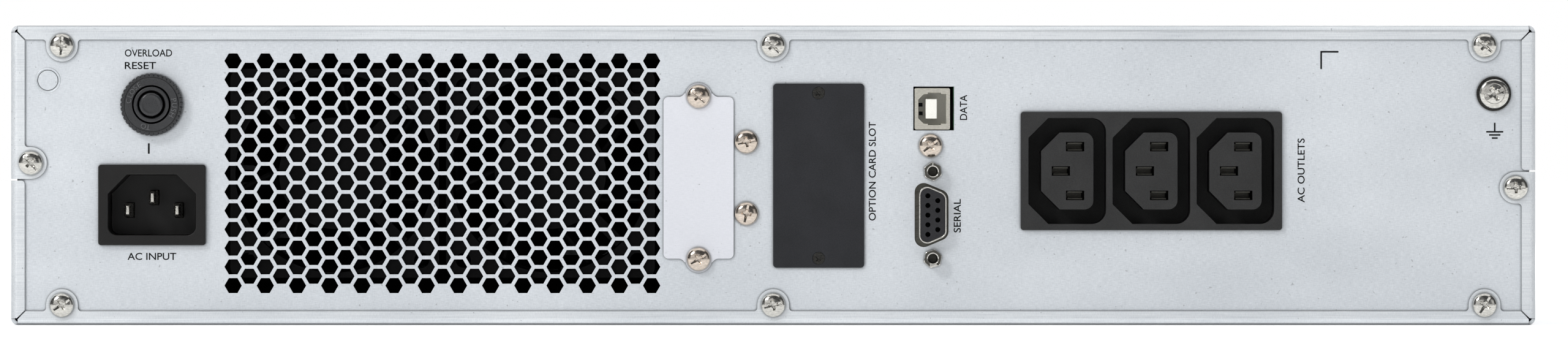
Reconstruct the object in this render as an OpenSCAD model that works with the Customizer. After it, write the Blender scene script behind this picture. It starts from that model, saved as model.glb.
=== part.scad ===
// Two-unit rackmount uninterruptible power supply. The connector panel faces -Y,
// the bezel with the battery drawer faces +Y, and the case stands on Z = 0.

/* [Case] */
// Width of the case across its side walls
case_w = 438; // [436:1:440]
// Height of the case
case_h = 86; // [85:1:88]
// Depth from the rear lips to the face of the bezel
case_d = 436; // [432:1:440]
// Thickness of the shell sheet
sheet_t = 1; // [0.8:0.1:1]
// Outer radius of the shell's bends
bend_r = 2; // [1.8:0.1:2]
// Width of the lips folded over the rear panel
lip_w = 4; // [3.8:0.1:4.2]
// Thickness of the rear panel
panel_t = 1.2; // [1:0.1:1.5]
// Depth of the plastic bezel and of the drawer's fascia
bezel_t = 22; // [20:1:24]

/* [Shell tabs and screws] */
// Distance of the outer tabs from the middle of the case
tab_x = 204.3; // [200:0.1:206]
// Distance of a tab's screw from the outside of the case
tab_inset = 5.8; // [5.6:0.1:6]
// Width of a tab
tab_w = 9.1; // [8.6:0.1:9.4]
// Diameter of the pan heads
head_d = 6.9; // [6.4:0.1:7.2]

/* [Air vent] */
// Middle of the vent across the panel
vent_x = -95.05; // [-96:0.05:-94]
// Middle of the vent above the base
vent_z = 43.6; // [43:0.1:44]
// Size of a hexagonal hole across its corners
hex_corners = 5; // [4.4:0.1:5.2]
// Distance between columns of holes
hex_step_x = 4.625; // [4.6:0.005:4.7]
// Distance between the holes of a column
hex_step_z = 5.375; // [5.3:0.005:5.4]
// Number of columns
hex_columns = 27; // [21:2:27]
// Number of holes in the longer columns
hex_rows = 13; // [9:2:13]

/* [Mains input] */
// Middle of the inlet and of the breaker across the panel
inlet_x = -178.4; // [-180:0.1:-177]
// Middle of the inlet above the base
inlet_z = 34.5; // [34:0.1:36]
// Width of the inlet's flange
inlet_w = 30.8; // [30:0.1:31]
// Height of the inlet's flange
inlet_h = 23.1; // [22.8:0.1:24]
// Middle of the breaker above the base
breaker_z = 63.3; // [62:0.1:64]
// Diameter of the breaker's knurled collar
collar_d = 18; // [17:0.1:18.5]
// Number of scallops round the collar
scallops = 40; // [30:1:44]

/* [Signal ports] */
// Middle of the ports across the panel
port_x = 45.8; // [45:0.1:46.5]
// Middle of the USB port above the base
usb_z = 62.1; // [61:0.1:63]
// Middle of the serial port above the base
serial_z = 31.6; // [31:0.1:33]
// Distance between the serial port's jackscrews
jack_step = 25; // [24.9:0.1:25.1]

/* [Covers] */
// Width of the blank over the card slot
slot_w = 26.1; // [25:0.1:27]
// Height of the blank over the card slot
slot_h = 52.8; // [51:0.1:54]
// Width of the plate over the unused connector
cover_w = 20.1; // [19.5:0.1:20.5]
// Height of that plate without its ears
cover_h = 46.4; // [45:0.1:47]

/* [Outlets] */
// Middle of the outlet block across the panel
outlet_x = 108.6; // [108:0.1:110]
// Middle of the outlet block above the base
outlet_z = 44.25; // [43:0.05:46]
// Width of the outlet block's flange
outlet_w = 75; // [74.6:0.1:76]
// Height of the outlet block's flange
outlet_h = 33.9; // [33.6:0.1:35]
// Distance between outlets
outlet_step = 24.15; // [24:0.05:24.3]

/* [Fans] */
// Side of a fan's square frame
fan_w = 60; // [60:0.5:60.5]
// Depth of a fan
fan_t = 25; // [24:1:26]
// Number of blades
blades = 7; // [5:1:8]

/* [Battery drawer] */
// Middle of the drawer across the case
drawer_x = 124.5; // [124:0.5:125]
// Width of one battery block
battery_w = 151; // [148:1:151]
// Length of one battery block along the case
battery_l = 98; // [94:1:98]
// Height of one battery block
battery_h = 65; // [62:1:65]

/* [Front] */
// Middle of the display across the case
display_x = -20; // [-24:1:-18]
// Width of the display window
display_w = 70; // [64:1:72]
// Height of the display window
display_h = 32; // [28:1:34]
// Diameter of the four buttons
button_d = 9; // [8:0.5:10]

/* [Hidden] */
$fn = 48;
EPS = 0.01;
CUT = 1;                        // how far a cutter runs past the face it cuts

// Lengthways places, from the rear towards the front
knob_proud = 6;                 // breaker button's reach behind the rear lips
y_lip = knob_proud - (case_d + knob_proud) / 2;
y_panel = y_lip + sheet_t;      // outer face of the rear panel
y_inside = y_panel + panel_t;   // inner face of the rear panel
y_face = y_lip + case_d;        // face of the bezel
y_mouth = y_face - bezel_t;     // front edge of the shells and face of the front frame
half_w = case_w / 2;
mid_z = case_h / 2;

// Split between the shells: the wall with the tab is the taller one
tab_wall_h = mid_z + 1;
plain_wall_h = mid_z - 1.5;
mitre_gap = 0.4;

// Fasteners
thread_r = 1.65;                // tapped hole for an M4 screw
shank_r = 1.6;                  // its screw
pass_r = 2.2;                   // clearance hole for it
small_thread_r = 0.85;          // tapped hole for an M2 screw
head_t = 2.4;
head_drop = 0.8;                // fall of a pan head's dome towards its rim
nut_r = 3.75;
nut_h = 2.5;

// Rear panel: edge, folded edges and tapped bosses
panel_edge = 2.2;
flange_run = 8;
boss_r = 2.6;
boss_h = 1.6;

// Rear panel fasteners and covers, across and above the base
rear_tabs = [-tab_x, 0, tab_x];
side_tab_z = case_h - tab_wall_h + tab_w / 2;
shell_screw_turns = [85, -50, -42, 32, 15, 58, -48, 2];
panel_screw_turns = [-44, 30, 78, 12, 38];
cover_x = -21.45;
cover_z = 42.3;
cover_t = 1;
cover_screw_h = 46.7;           // distance between the cover's screws
bracket_x = -7.7;
bracket_zs = [32, 52.6];
slot_x = 13.05;
slot_z = 42.9;
slot_cover_t = 1.2;
slot_screw_h = 47.4;            // distance between the blank's screws
comm_screw = [45.2, 51.5];
earth_at = [207, 66.4];
stud_at = [-208.4, 70.3];
stud_r = 3;
stud_groove = [0.16, 0.5];      // width and depth of the coined ring round the stud
shell_screw_points = [
    for (x = rear_tabs) [x, case_h - tab_inset],
    for (x = rear_tabs) [x, tab_inset],
    [-half_w + tab_inset, side_tab_z],
    [half_w - tab_inset, case_h - side_tab_z]
];
panel_screw_points = [
    [cover_x, cover_z + cover_screw_h / 2],
    [cover_x, cover_z - cover_screw_h / 2],
    [bracket_x, bracket_zs[0]],
    [bracket_x, bracket_zs[1]],
    comm_screw
];

// Rack ear holes in the side walls
ear_step_y = 30;
ear_step_z = 38;
ear_y = y_mouth - 33;

// Inlet and outlets
inlet_cavity = [25.1, 17.3];
inlet_flange_t = 2.2;
inlet_depth = 15.5;
inlet_back_t = 2.5;
inlet_body = [27.6, 19.8];
pin_size = [2, 4];
inlet_pins_at = [[-7.1, -1.5], [7.1, -1.5], [0, 2.1]];
tag_run = 8;                    // push-on tag behind an inlet pin or a breaker terminal
outlet_flange_t = 1.8;
outlet_depth = 15;
outlet_recess = [22.3, 30.4];
outlet_core = [15, 22.1];
outlet_slot = [5.25, 2.7];
outlet_slots_at = [[2.25, 7], [2.25, -7], [-1.84, 0]];
outlet_body = [outlet_w - 2.4, outlet_h - 1.9];
outlet_tag_run = 11;

// Breaker
breaker_hole_r = 5.3;
breaker_depth = 33;
breaker_tag_x = 5;
collar_t = 4.6;
bushing_t = 5.2;
button_t = sheet_t + knob_proud;

// Ports
usb_shell_size = [10.2, 11.9];
usb_cut = [11.7, 12.6];
usb_back = 16;
usb_proud = 0.2;
serial_proud = 4.8;
pin_step = 2.77;
row_step = 2.84;

// Fans
fan_step = 62;
fan_xs = [vent_x - fan_step / 2, vent_x + fan_step / 2];
fan_z = vent_z;
rotor_r = 27.8;
hub_r = 16;
shaft_r = 1.5;

// Front frame
frame_t = 1.2;
y_frame = y_mouth - frame_t;    // rear face of the front frame
frame_flange = 60;
frame_edge = sheet_t + 0.1;
frame_screw_xs = [-190, -20, 150];
frame_screw_y = y_mouth - 8;

// Main board and what stands on it
board_z = 9;
board_t = 1.6;
board_top = board_z + board_t;
board_x = [-208, 36];
board_y = [y_inside + 46, y_frame - 12];
standoff_points = [
    for (x = [board_x[0] + 8, (board_x[0] + board_x[1]) / 2, board_x[1] - 8])
        for (y = [board_y[0] + 8, (board_y[0] + board_y[1]) / 2, board_y[1] - 8])
            [x, y]
];
heatsink_xs = [-160, -74];
heatsink_y = [board_y[0] + 24, board_y[0] + 174];
capacitor_points = [for (x = [-122, -94], i = [0 : 3]) [x, board_y[0] + 44 + i * 30]];
inductor_points = [for (i = [0 : 2]) [-22, board_y[0] + 60 + i * 50]];
lead_r = 1.5;

// Battery drawer
tray_t = 1.2;
guide_t = 2;
tray_z = sheet_t + guide_t;
tray_w = battery_w + 8;
tray_gap = 1.5;                 // between two battery blocks
tray_y = [y_frame - 3 * battery_l - 4 * tray_gap, y_frame];
battery_ys = [for (i = [0 : 2]) tray_y[0] + tray_t + 0.4 + (i + 0.5) * battery_l + i * tray_gap];
terminal_dx = 62;
bay_x = drawer_x - tray_w / 2 - 3.5;
bay_end_y = tray_y[0] - 6;
door_w = tray_w + 3;            // opening in the front frame
door_z = [2.4, 81];

// Bezel and fascia
fascia_x = [28, half_w];
bezel_wall = 2.5;
bezel_gap = 0.4;
cap_chamfer = 1.6;
intake_x = [-206, -72];
intake_h = 60;
filter_t = 6;
pull_w = 90;
pull_z = [24, 46];
thumb_xs = [37.5, 210.5];
thumb_head_r = 6;

// Front controls
button_xs = [display_x + 27, display_x + 9, display_x - 9, display_x - 27];
button_z = 20;
display_z = 55;
field_sink = 1.2;               // control field below the bezel's face
light_xs = [for (i = [-2 : 2]) display_x + 9 * i];
light_z = 32.5;

GALVANISED = [0.83, 0.86, 0.88];
NICKEL = [0.78, 0.76, 0.72];
BLACK_PLASTIC = [0.14, 0.14, 0.145];
DARK_PLASTIC = [0.24, 0.24, 0.245];

/* ---------- shared shapes ---------- */

// Drawing plane of the rear panel: X right, Y up, +Z out of the case
module on_panel(x, z, sink = 0) {
    translate([x, y_panel + sink, z])
        rotate([90, 0, 0])
            children();
}

// Drawing plane of the front, seen from outside: X right, Y up, +Z out of the case
module on_front(x, z, sink = 0) {
    translate([x, y_face - sink, z])
        rotate([90, 0, 180])
            children();
}

module rounded_rect(w, h, r) {
    square([w - 2 * r, h], center = true);
    square([w, h - 2 * r], center = true);
    for (sx = [-1, 1], sy = [-1, 1])
        translate([sx * (w / 2 - r), sy * (h / 2 - r)])
            circle(r);
}

// Slot of width w and overall height h with round ends
module upright_slot(w, h) {
    square([w, h - w], center = true);
    for (s = [-1, 1])
        translate([0, s * (h - w) / 2])
            circle(d = w, $fn = 32);
}

// A slab between two corners
module slab(low, high) {
    translate(low)
        cube(high - low);
}

module pan_head(d, t, drop) {
    ball_r = (pow(d / 2, 2) + pow(drop, 2)) / (2 * drop);
    intersection() {
        cylinder(r = d / 2, h = t);
        translate([0, 0, t - ball_r])
            sphere(r = ball_r, $fn = 96);
    }
}

// Cross recess with one arm run out to a full slot
module combination_recess(d) {
    translate([-d / 2 - CUT, -0.4, 0])
        cube([d + 2 * CUT, 0.8, 2]);
    for (a = [0, 90])
        rotate(a)
            translate([-d * 0.27, -0.5, -0.6])
                cube([d * 0.54, 1, 3]);
}

// Pan head screw, its head's seat at Z = 0 and its shank towards -Z
module pan_screw(d, t, shank, length, turn) {
    rotate(turn) {
        difference() {
            pan_head(d, t, head_drop);
            translate([0, 0, t - 1.1])
                combination_recess(d);
        }
        translate([0, 0, -length])
            cylinder(r = shank, h = length + EPS);
    }
}

// A lead along a list of points
module lead(points, r) {
    for (i = [0 : len(points) - 2])
        hull()
            for (p = [points[i], points[i + 1]])
                translate(p)
                    sphere(r = r, $fn = 10);
}

/* ---------- case ---------- */

// Section across a wall and its rear lip: the wall runs along +X with its outer face on Y = 0
module lipped_section(run) {
    translate([bend_r, -sheet_t])
        square([run - bend_r, sheet_t]);
    translate([0, -lip_w])
        square([sheet_t, lip_w - bend_r]);
    translate([bend_r, -bend_r])
        intersection() {
            difference() {
                circle(r = bend_r);
                circle(r = bend_r - sheet_t);
            }
            translate([-bend_r, 0])
                square(bend_r);
        }
}

// Screw tab on a lip, its screw at the origin and the lip towards +Y
module tab_outline(fillets) {
    root = tab_inset - lip_w;
    circle(r = tab_w / 2);
    translate([-tab_w / 2, 0])
        square([tab_w, tab_inset - bend_r]);
    for (s = fillets)
        difference() {
            translate([s * (tab_w / 2 + 0.5), root - 0.4])
                square([1, 1.2], center = true);
            translate([s * (tab_w / 2 + 1), root - 1])
                circle(r = 1);
        }
}

module shell_tab(x, z, turn, fillets = [-1, 1]) {
    on_panel(x, z)
        rotate(turn)
            linear_extrude(sheet_t)
                tab_outline(fillets);
}

module side_wall(height) {
    translate([-half_w, y_lip, case_h - height])
        rotate([0, 0, 90])
            linear_extrude(height - bend_r)
                lipped_section(y_mouth - y_lip);
}

module corner_bend() {
    run = y_mouth - y_lip - bend_r;
    translate([-half_w + bend_r, y_mouth, case_h - bend_r])
        rotate([90, 0, 0])
            linear_extrude(run)
                intersection() {
                    difference() {
                        circle(r = bend_r);
                        circle(r = bend_r - sheet_t);
                    }
                    translate([-bend_r, 0])
                        square(bend_r);
                }
}

module mitre_slot() {
    translate([-half_w, y_lip - CUT, case_h])
        rotate([0, 45, 0])
            translate([0, 0, -mitre_gap / 2])
                cube([lip_w * 2, bend_r - 0.4 + CUT, mitre_gap]);
}

// One U-shaped shell, as it lies on top; the lower one is the same turned over
module half_shell() {
    difference() {
        union() {
            translate([-half_w + bend_r, y_lip, case_h])
                rotate([90, 0, 90])
                    linear_extrude(case_w - 2 * bend_r)
                        lipped_section(y_mouth - y_lip);
            side_wall(tab_wall_h);
            mirror([1, 0, 0])
                side_wall(plain_wall_h);
            corner_bend();
            mirror([1, 0, 0])
                corner_bend();
            for (x = rear_tabs)
                shell_tab(x, case_h - tab_inset, 0);
            shell_tab(-half_w + tab_inset, side_tab_z, 90, [1]);
        }
        mitre_slot();
        mirror([1, 0, 0])
            mitre_slot();
        for (x = rear_tabs)
            on_panel(x, case_h - tab_inset, CUT)
                cylinder(r = pass_r, h = 3 * CUT);
        on_panel(-half_w + tab_inset, side_tab_z, CUT)
            cylinder(r = pass_r, h = 3 * CUT);
        for (y = [-1, 1])
            translate([-half_w - CUT, ear_y + y * ear_step_y / 2, mid_z + ear_step_z / 2])
                rotate([0, 90, 0])
                    cylinder(r = pass_r, h = case_w + 2 * CUT);
        for (x = frame_screw_xs)
            translate([x, frame_screw_y, case_h - sheet_t - CUT])
                cylinder(r = 1.6, h = sheet_t + 2 * CUT);
        for (x = frame_screw_xs)
            translate([x, frame_screw_y, case_h - sheet_t])
                cylinder(r1 = 1.7, r2 = 2.9, h = sheet_t + EPS);
        plain_corner_round();
    }
}

// Rounds the lip's corner where the plain wall ends
module plain_corner_round() {
    on_panel(half_w - lip_w, case_h - plain_wall_h, CUT)
        linear_extrude(3 * CUT)
            difference() {
                translate([-CUT, -CUT])
                    square(1 + CUT);
                translate([1, 1])
                    circle(r = 1);
            }
}

module turn_over() {
    translate([0, 0, case_h])
        rotate([0, 180, 0])
            children();
}

module upper_shell() {
    color(GALVANISED)
        half_shell();
}

module lower_shell() {
    color(GALVANISED)
        turn_over()
            half_shell();
}

// Strips that back the seam between the shells on each side
module seam_strips() {
    y_ends = [y_inside + flange_run + 2, y_frame - frame_flange - 2];
    color(GALVANISED)
        for (s = [-1, 1])
            translate([s * (half_w - sheet_t - 0.5), (y_ends[0] + y_ends[1]) / 2, mid_z])
                cube([1, y_ends[1] - y_ends[0], 16], center = true);
}

/* ---------- rear panel ---------- */

module vent_holes() {
    half = (hex_columns - 1) / 2;
    for (c = [-half : half]) {
        short = (c + half) % 2;
        rows = hex_rows - short;
        for (r = [0 : rows - 1])
            translate([vent_x + c * hex_step_x, vent_z + (r - (rows - 1) / 2) * hex_step_z])
                circle(d = hex_corners, $fn = 6);
    }
}

module serial_outline(w, h, r, taper) {
    hull()
        for (s = [-1, 1]) {
            translate([-w / 2 + r, s * (h / 2 - r)])
                circle(r, $fn = 32);
            translate([w / 2 - r, s * (h / 2 - r - taper)])
                circle(r, $fn = 32);
        }
}

module inlet_outline(w, h, chamfer, r) {
    difference() {
        rounded_rect(w, h, r);
        for (s = [-1, 1])
            translate([s * w / 2, h / 2])
                rotate(45)
                    square(chamfer * sqrt(2), center = true);
    }
}

// Panel outline less every cut-out, seen from behind
module panel_drawing() {
    difference() {
        translate([0, mid_z])
            rounded_rect(case_w - 2 * panel_edge, case_h - 2 * panel_edge, 1);
        vent_holes();
        translate([inlet_x, inlet_z])
            square([inlet_body.x + 0.2, inlet_body.y + 0.2], center = true);
        translate([inlet_x, breaker_z])
            circle(r = breaker_hole_r);
        translate([cover_x, cover_z])
            rounded_rect(14, 37, 1);
        translate([slot_x, slot_z])
            rounded_rect(22, 43, 1);
        translate([port_x + 0.3, usb_z + 0.1])
            square(usb_cut, center = true);
        translate([port_x - 0.3, serial_z])
            serial_outline(9.7, 18.4, 2.6, 1.9);
        translate([outlet_x, outlet_z])
            square([outlet_body.x + 0.2, outlet_body.y + 0.2], center = true);
        translate(stud_at)
            circle(r = stud_r);
        for (s = [-1, 1])
            translate([port_x, serial_z + s * jack_step / 2])
                circle(r = 1.65);
        for (s = [-1, 1])
            translate([slot_x, slot_z + s * slot_screw_h / 2])
                circle(r = small_thread_r);
        for (p = concat(shell_screw_points, panel_screw_points, [earth_at]))
            translate(p)
                circle(r = thread_r);
    }
}

module rear_panel() {
    edge_x = half_w - panel_edge;
    color(GALVANISED)
        difference() {
            union() {
                on_panel(0, 0, panel_t)
                    linear_extrude(panel_t)
                        panel_drawing();
                for (z = [panel_edge, case_h - panel_edge - panel_t])
                    slab([-edge_x + 6, y_inside - EPS, z],
                         [edge_x - 6, y_inside + flange_run, z + panel_t]);
                for (x = [-edge_x, edge_x - panel_t])
                    slab([x, y_inside - EPS, 10], [x + panel_t, y_inside + flange_run, case_h - 10]);
                for (p = concat(shell_screw_points, panel_screw_points, [earth_at]))
                    on_panel(p.x, p.y, panel_t + boss_h)
                        cylinder(r = boss_r, h = boss_h + EPS);
            }
            for (p = concat(shell_screw_points, panel_screw_points, [earth_at]))
                on_panel(p.x, p.y, panel_t + boss_h + CUT)
                    cylinder(r = thread_r, h = boss_h + panel_t + 2 * CUT);
        }
}

module shell_screws() {
    color(NICKEL)
        for (i = [0 : len(shell_screw_points) - 1])
            on_panel(shell_screw_points[i].x, shell_screw_points[i].y, -sheet_t)
                pan_screw(head_d, head_t, shank_r, 8, shell_screw_turns[i]);
}

// Screws of the connector cover, of the card cage and of the port board
module panel_screws() {
    sinks = [-cover_t, -cover_t, 0, 0, 0];
    color(NICKEL)
        for (i = [0 : 4])
            on_panel(panel_screw_points[i].x, panel_screw_points[i].y, sinks[i])
                pan_screw(head_d - 0.1, head_t, shank_r, 7, panel_screw_turns[i]);
}

module clinch_stud() {
    color(NICKEL)
        on_panel(stud_at.x, stud_at.y) {
            translate([0, 0, -panel_t])
                cylinder(r = stud_r - 0.02, h = panel_t - stud_groove.y);
            translate([0, 0, -stud_groove.y - EPS])
                cylinder(r = stud_r - stud_groove.x, h = stud_groove.y + EPS);
            translate([0, 0, -10])
                cylinder(r = shank_r, h = 9);
        }
}

module connector_cover() {
    ear_r = 3.85;
    neck = 1.9;
    color([0.85, 0.86, 0.9])
        on_panel(cover_x, cover_z)
            linear_extrude(cover_t)
                difference() {
                    union() {
                        rounded_rect(cover_w, cover_h, 1.4);
                        for (s = [-1, 1]) {
                            translate([0, s * cover_screw_h / 2])
                                circle(r = ear_r);
                            for (t = [-1, 1])
                                difference() {
                                    translate([t * (ear_r + 0.6), s * (cover_h / 2 + 0.4)])
                                        square([2.4, 1.2], center = true);
                                    translate([t * (ear_r + neck), s * (cover_h / 2 + neck)])
                                        circle(r = neck);
                                }
                        }
                    }
                    for (s = [-1, 1])
                        translate([0, s * cover_screw_h / 2])
                            circle(r = pass_r);
                }
}

module slot_cover() {
    color(BLACK_PLASTIC)
        difference() {
            on_panel(slot_x, slot_z)
                linear_extrude(slot_cover_t)
                    rounded_rect(slot_w, slot_h, 1);
            for (s = [-1, 1])
                on_panel(slot_x, slot_z + s * slot_screw_h / 2) {
                    translate([0, 0, -CUT])
                        cylinder(r = 1.1, h = 2 + CUT);
                    translate([0, 0, slot_cover_t - 0.9])
                        cylinder(r1 = 1.1, r2 = 1.9, h = 0.9 + EPS);
                }
        }
}

module slot_cover_screws() {
    color(BLACK_PLASTIC)
        for (s = [-1, 1])
            on_panel(slot_x, slot_z + s * slot_screw_h / 2)
                rotate(35 * s)
                    difference() {
                        union() {
                            translate([0, 0, slot_cover_t - 0.85])
                                cylinder(r1 = 1, r2 = 1.78, h = 0.85);
                            translate([0, 0, -4])
                                cylinder(r = 0.8, h = 4 + slot_cover_t - 0.84);
                        }
                        for (a = [0, 90])
                            rotate(a)
                                translate([-1, -0.2, slot_cover_t - 0.5])
                                    cube([2, 0.4, 1]);
                    }
}

// Open-ended duct behind the card slot, with a flange screwed to the rear panel
module card_cage() {
    wall = 0.8;
    size = [23.6, 45];
    depth = 118;
    y0 = y_inside + 0.1;
    color(GALVANISED)
        difference() {
            union() {
                translate([slot_x - size.x / 2, y0, slot_z - size.y / 2])
                    cube([size.x, depth, size.y]);
                slab([bracket_x - 4.5, y0 + boss_h + 0.1, slot_z - 17],
                     [slot_x - size.x / 2 + EPS, y0 + boss_h + 0.9, slot_z + 17]);
            }
            translate([slot_x - size.x / 2 + wall, y0 - CUT, slot_z - size.y / 2 + wall])
                cube([size.x - 2 * wall, depth + 2 * CUT, size.y - 2 * wall]);
            for (z = bracket_zs)
                on_panel(bracket_x, z, panel_t + 4)
                    cylinder(r = 1.9, h = 4);
        }
}

/* ---------- mains input ---------- */

module inlet_housing() {
    back = inlet_depth - inlet_flange_t + inlet_back_t;
    color(BLACK_PLASTIC)
        on_panel(inlet_x, inlet_z)
            difference() {
                union() {
                    linear_extrude(inlet_flange_t)
                        rounded_rect(inlet_w, inlet_h, 0.8);
                    translate([0, 0, -back])
                        linear_extrude(back + EPS)
                            square(inlet_body, center = true);
                }
                translate([0, 0, inlet_flange_t - inlet_depth])
                    linear_extrude(inlet_depth + CUT)
                        inlet_outline(inlet_cavity.x, inlet_cavity.y, 5.4, 2.6);
                for (p = inlet_pins_at)
                    translate([p.x, p.y, -back - CUT])
                        linear_extrude(back + CUT)
                            square([pin_size.x + 0.1, pin_size.y + 0.1], center = true);
            }
}

// Contact blade: flat pin in the cavity, tag for a push-on terminal behind
module inlet_pin() {
    floor_z = inlet_flange_t - inlet_depth;
    tip_z = inlet_flange_t - 2;
    translate([0, 0, floor_z])
        linear_extrude(tip_z - floor_z - 1.2)
            square(pin_size, center = true);
    hull() {
        translate([0, 0, tip_z - 1.2])
            cube([pin_size.x, pin_size.y, EPS], center = true);
        translate([0, 0, tip_z - EPS])
            cube([pin_size.x * 0.4, pin_size.y * 0.58, EPS], center = true);
    }
    translate([0, 0, floor_z - inlet_back_t - tag_run])
        linear_extrude(tag_run + inlet_back_t + EPS)
            square([0.8, pin_size.y], center = true);
    translate([0, 0, floor_z - inlet_back_t])
        linear_extrude(inlet_back_t + EPS)
            square(pin_size, center = true);
}

module inlet_pins() {
    color(NICKEL)
        for (p = inlet_pins_at)
            on_panel(inlet_x + p.x, inlet_z + p.y)
                inlet_pin();
}

module breaker_body() {
    color(DARK_PLASTIC)
        on_panel(inlet_x, breaker_z)
            difference() {
                union() {
                    translate([0, 0, -breaker_depth - panel_t])
                        linear_extrude(breaker_depth)
                            rounded_rect(17, 19, 1);
                    translate([0, 0, -panel_t - 1])
                        cylinder(r = 5.1, h = bushing_t + panel_t + 1);
                }
                translate([0, 0, -12])
                    cylinder(r = 3.9, h = 20);
                for (x = [-breaker_tag_x, breaker_tag_x])
                    translate([x, 0, -breaker_depth - panel_t - CUT])
                        linear_extrude(5)
                            square([0.9, 6.4], center = true);
            }
}

// Knurled ring nut that holds the breaker in the panel
module breaker_collar() {
    groove_r = 7.8;
    scallop_r = 0.72;
    color(DARK_PLASTIC)
        on_panel(inlet_x, breaker_z)
            difference() {
                union() {
                    cylinder(r = groove_r, h = collar_t);
                    linear_extrude(collar_t - 0.5)
                        difference() {
                            circle(r = collar_d / 2, $fn = 96);
                            for (i = [0 : scallops - 1])
                                rotate((i + 0.5) * 360 / scallops)
                                    translate([collar_d / 2 + 0.32, 0])
                                        circle(r = scallop_r, $fn = 16);
                        }
                }
                translate([0, 0, -CUT])
                    cylinder(r = 5.2, h = collar_t + 2 * CUT);
                translate([0, 0, collar_t - 1])
                    cylinder(r1 = 5.2, r2 = 5.6, h = 1 + EPS);
            }
}

module breaker_button() {
    r = 3.35;
    color(DARK_PLASTIC)
        on_panel(inlet_x, breaker_z)
            rotate_extrude()
                union() {
                    translate([0, -8])
                        square([r, button_t + 8 - 0.5]);
                    translate([0, button_t - 0.5])
                        square([r - 0.5, 0.5]);
                    intersection() {
                        translate([r - 0.5, button_t - 0.5])
                            circle(r = 0.5);
                        translate([r - 0.5, button_t - 0.5])
                            square(0.5);
                    }
                }
}

module breaker_terminals() {
    color(NICKEL)
        for (x = [-breaker_tag_x, breaker_tag_x])
            on_panel(inlet_x + x, breaker_z)
                translate([0, 0, -breaker_depth - panel_t - tag_run])
                    linear_extrude(12)
                        square([0.8, 6.3], center = true);
}

/* ---------- outlets ---------- */

// Outline with its two left corners cut and its two right corners round
module outlet_outline(w, h, chamfer, r) {
    difference() {
        translate([-w / 2, -h / 2])
            square([w, h]);
        for (s = [-1, 1]) {
            translate([-w / 2, s * h / 2])
                rotate(45)
                    square(chamfer * sqrt(2), center = true);
            translate([w / 2 - r, s * (h / 2 - r)])
                scale([1, s])
                    difference() {
                        square(r + CUT);
                        circle(r);
                    }
        }
    }
}

module outlet_block() {
    back = outlet_depth - outlet_flange_t + 3;
    color(DARK_PLASTIC)
        on_panel(outlet_x, outlet_z)
            difference() {
                union() {
                    linear_extrude(outlet_flange_t)
                        rounded_rect(outlet_w, outlet_h, 0.8);
                    translate([0, 0, -back])
                        linear_extrude(back + EPS)
                            square(outlet_body, center = true);
                }
                for (i = [-1 : 1])
                    translate([i * outlet_step, 0, 0]) {
                        translate([0, 0, outlet_flange_t - outlet_depth])
                            linear_extrude(outlet_depth + CUT)
                                difference() {
                                    outlet_outline(outlet_recess.x, outlet_recess.y, 5.7, 4.1);
                                    outlet_outline(outlet_core.x, outlet_core.y, 5.3, 2.6);
                                }
                        for (p = outlet_slots_at)
                            translate([p.x, p.y, outlet_flange_t - outlet_depth])
                                linear_extrude(outlet_depth + CUT)
                                    square(outlet_slot, center = true);
                        for (p = outlet_slots_at)
                            translate([p.x, p.y, -back - CUT])
                                linear_extrude(back)
                                    square([4.2, 0.9], center = true);
                    }
            }
}

// Sprung contacts: two leaves in each slot, joined to a tag at the back
module outlet_contact() {
    floor_z = outlet_flange_t - outlet_depth;
    for (s = [-1, 1])
        translate([-2.1, s * 0.95 - 0.2, floor_z])
            cube([4.2, 0.4, 10.5]);
    translate([-2.1, -1.15, floor_z])
        cube([4.2, 2.3, 0.5]);
    translate([-2, -0.4, floor_z - outlet_tag_run])
        cube([4, 0.8, outlet_tag_run + EPS]);
}

module outlet_contacts() {
    color(NICKEL)
        for (i = [-1 : 1], p = outlet_slots_at)
            on_panel(outlet_x + i * outlet_step + p.x, outlet_z + p.y)
                outlet_contact();
}

/* ---------- signal ports ---------- */

module usb_opening() {
    difference() {
        union() {
            square([8, 8.5], center = true);
            translate([0.6, 0])
                square([3.7, 9.3], center = true);
        }
        for (s = [-1, 1])
            translate([-4, s * 4.25])
                rotate(45)
                    square(1.6 * sqrt(2), center = true);
    }
}

module usb_shell() {
    w = usb_shell_size.x;
    h = usb_shell_size.y;
    color(NICKEL)
        on_panel(port_x - 0.1, usb_z)
            difference() {
                translate([0, 0, -usb_back])
                    linear_extrude(usb_back + usb_proud)
                        rounded_rect(w, h, 0.5);
                translate([0, 0, -usb_back - CUT])
                    linear_extrude(usb_back + CUT + usb_proud - 0.5)
                        rounded_rect(w - 0.8, h - 0.8, 0.3);
                linear_extrude(4, center = true)
                    usb_opening();
            }
}

// White insulator: a base at the back, walls along the shell and the tongue
module usb_core() {
    w = usb_shell_size.x - 1;
    h = usb_shell_size.y - 1;
    color([0.95, 0.95, 0.93])
        on_panel(port_x - 0.1, usb_z)
            difference() {
                union() {
                    translate([0, 0, -usb_back + 0.2])
                        linear_extrude(usb_back - 0.7)
                            difference() {
                                rounded_rect(w, h, 0.3);
                                usb_opening();
                            }
                    translate([0, 0, -usb_back + 0.2])
                        linear_extrude(5)
                            rounded_rect(w, h, 0.3);
                    translate([-0.3, 0, -7])
                        cube([3.2, 5.6, 13], center = true);
                }
                for (y = [-1.25, 1.25])
                    translate([-3.2, y, -5])
                        cube([1, 1, 13], center = true);
            }
}

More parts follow.
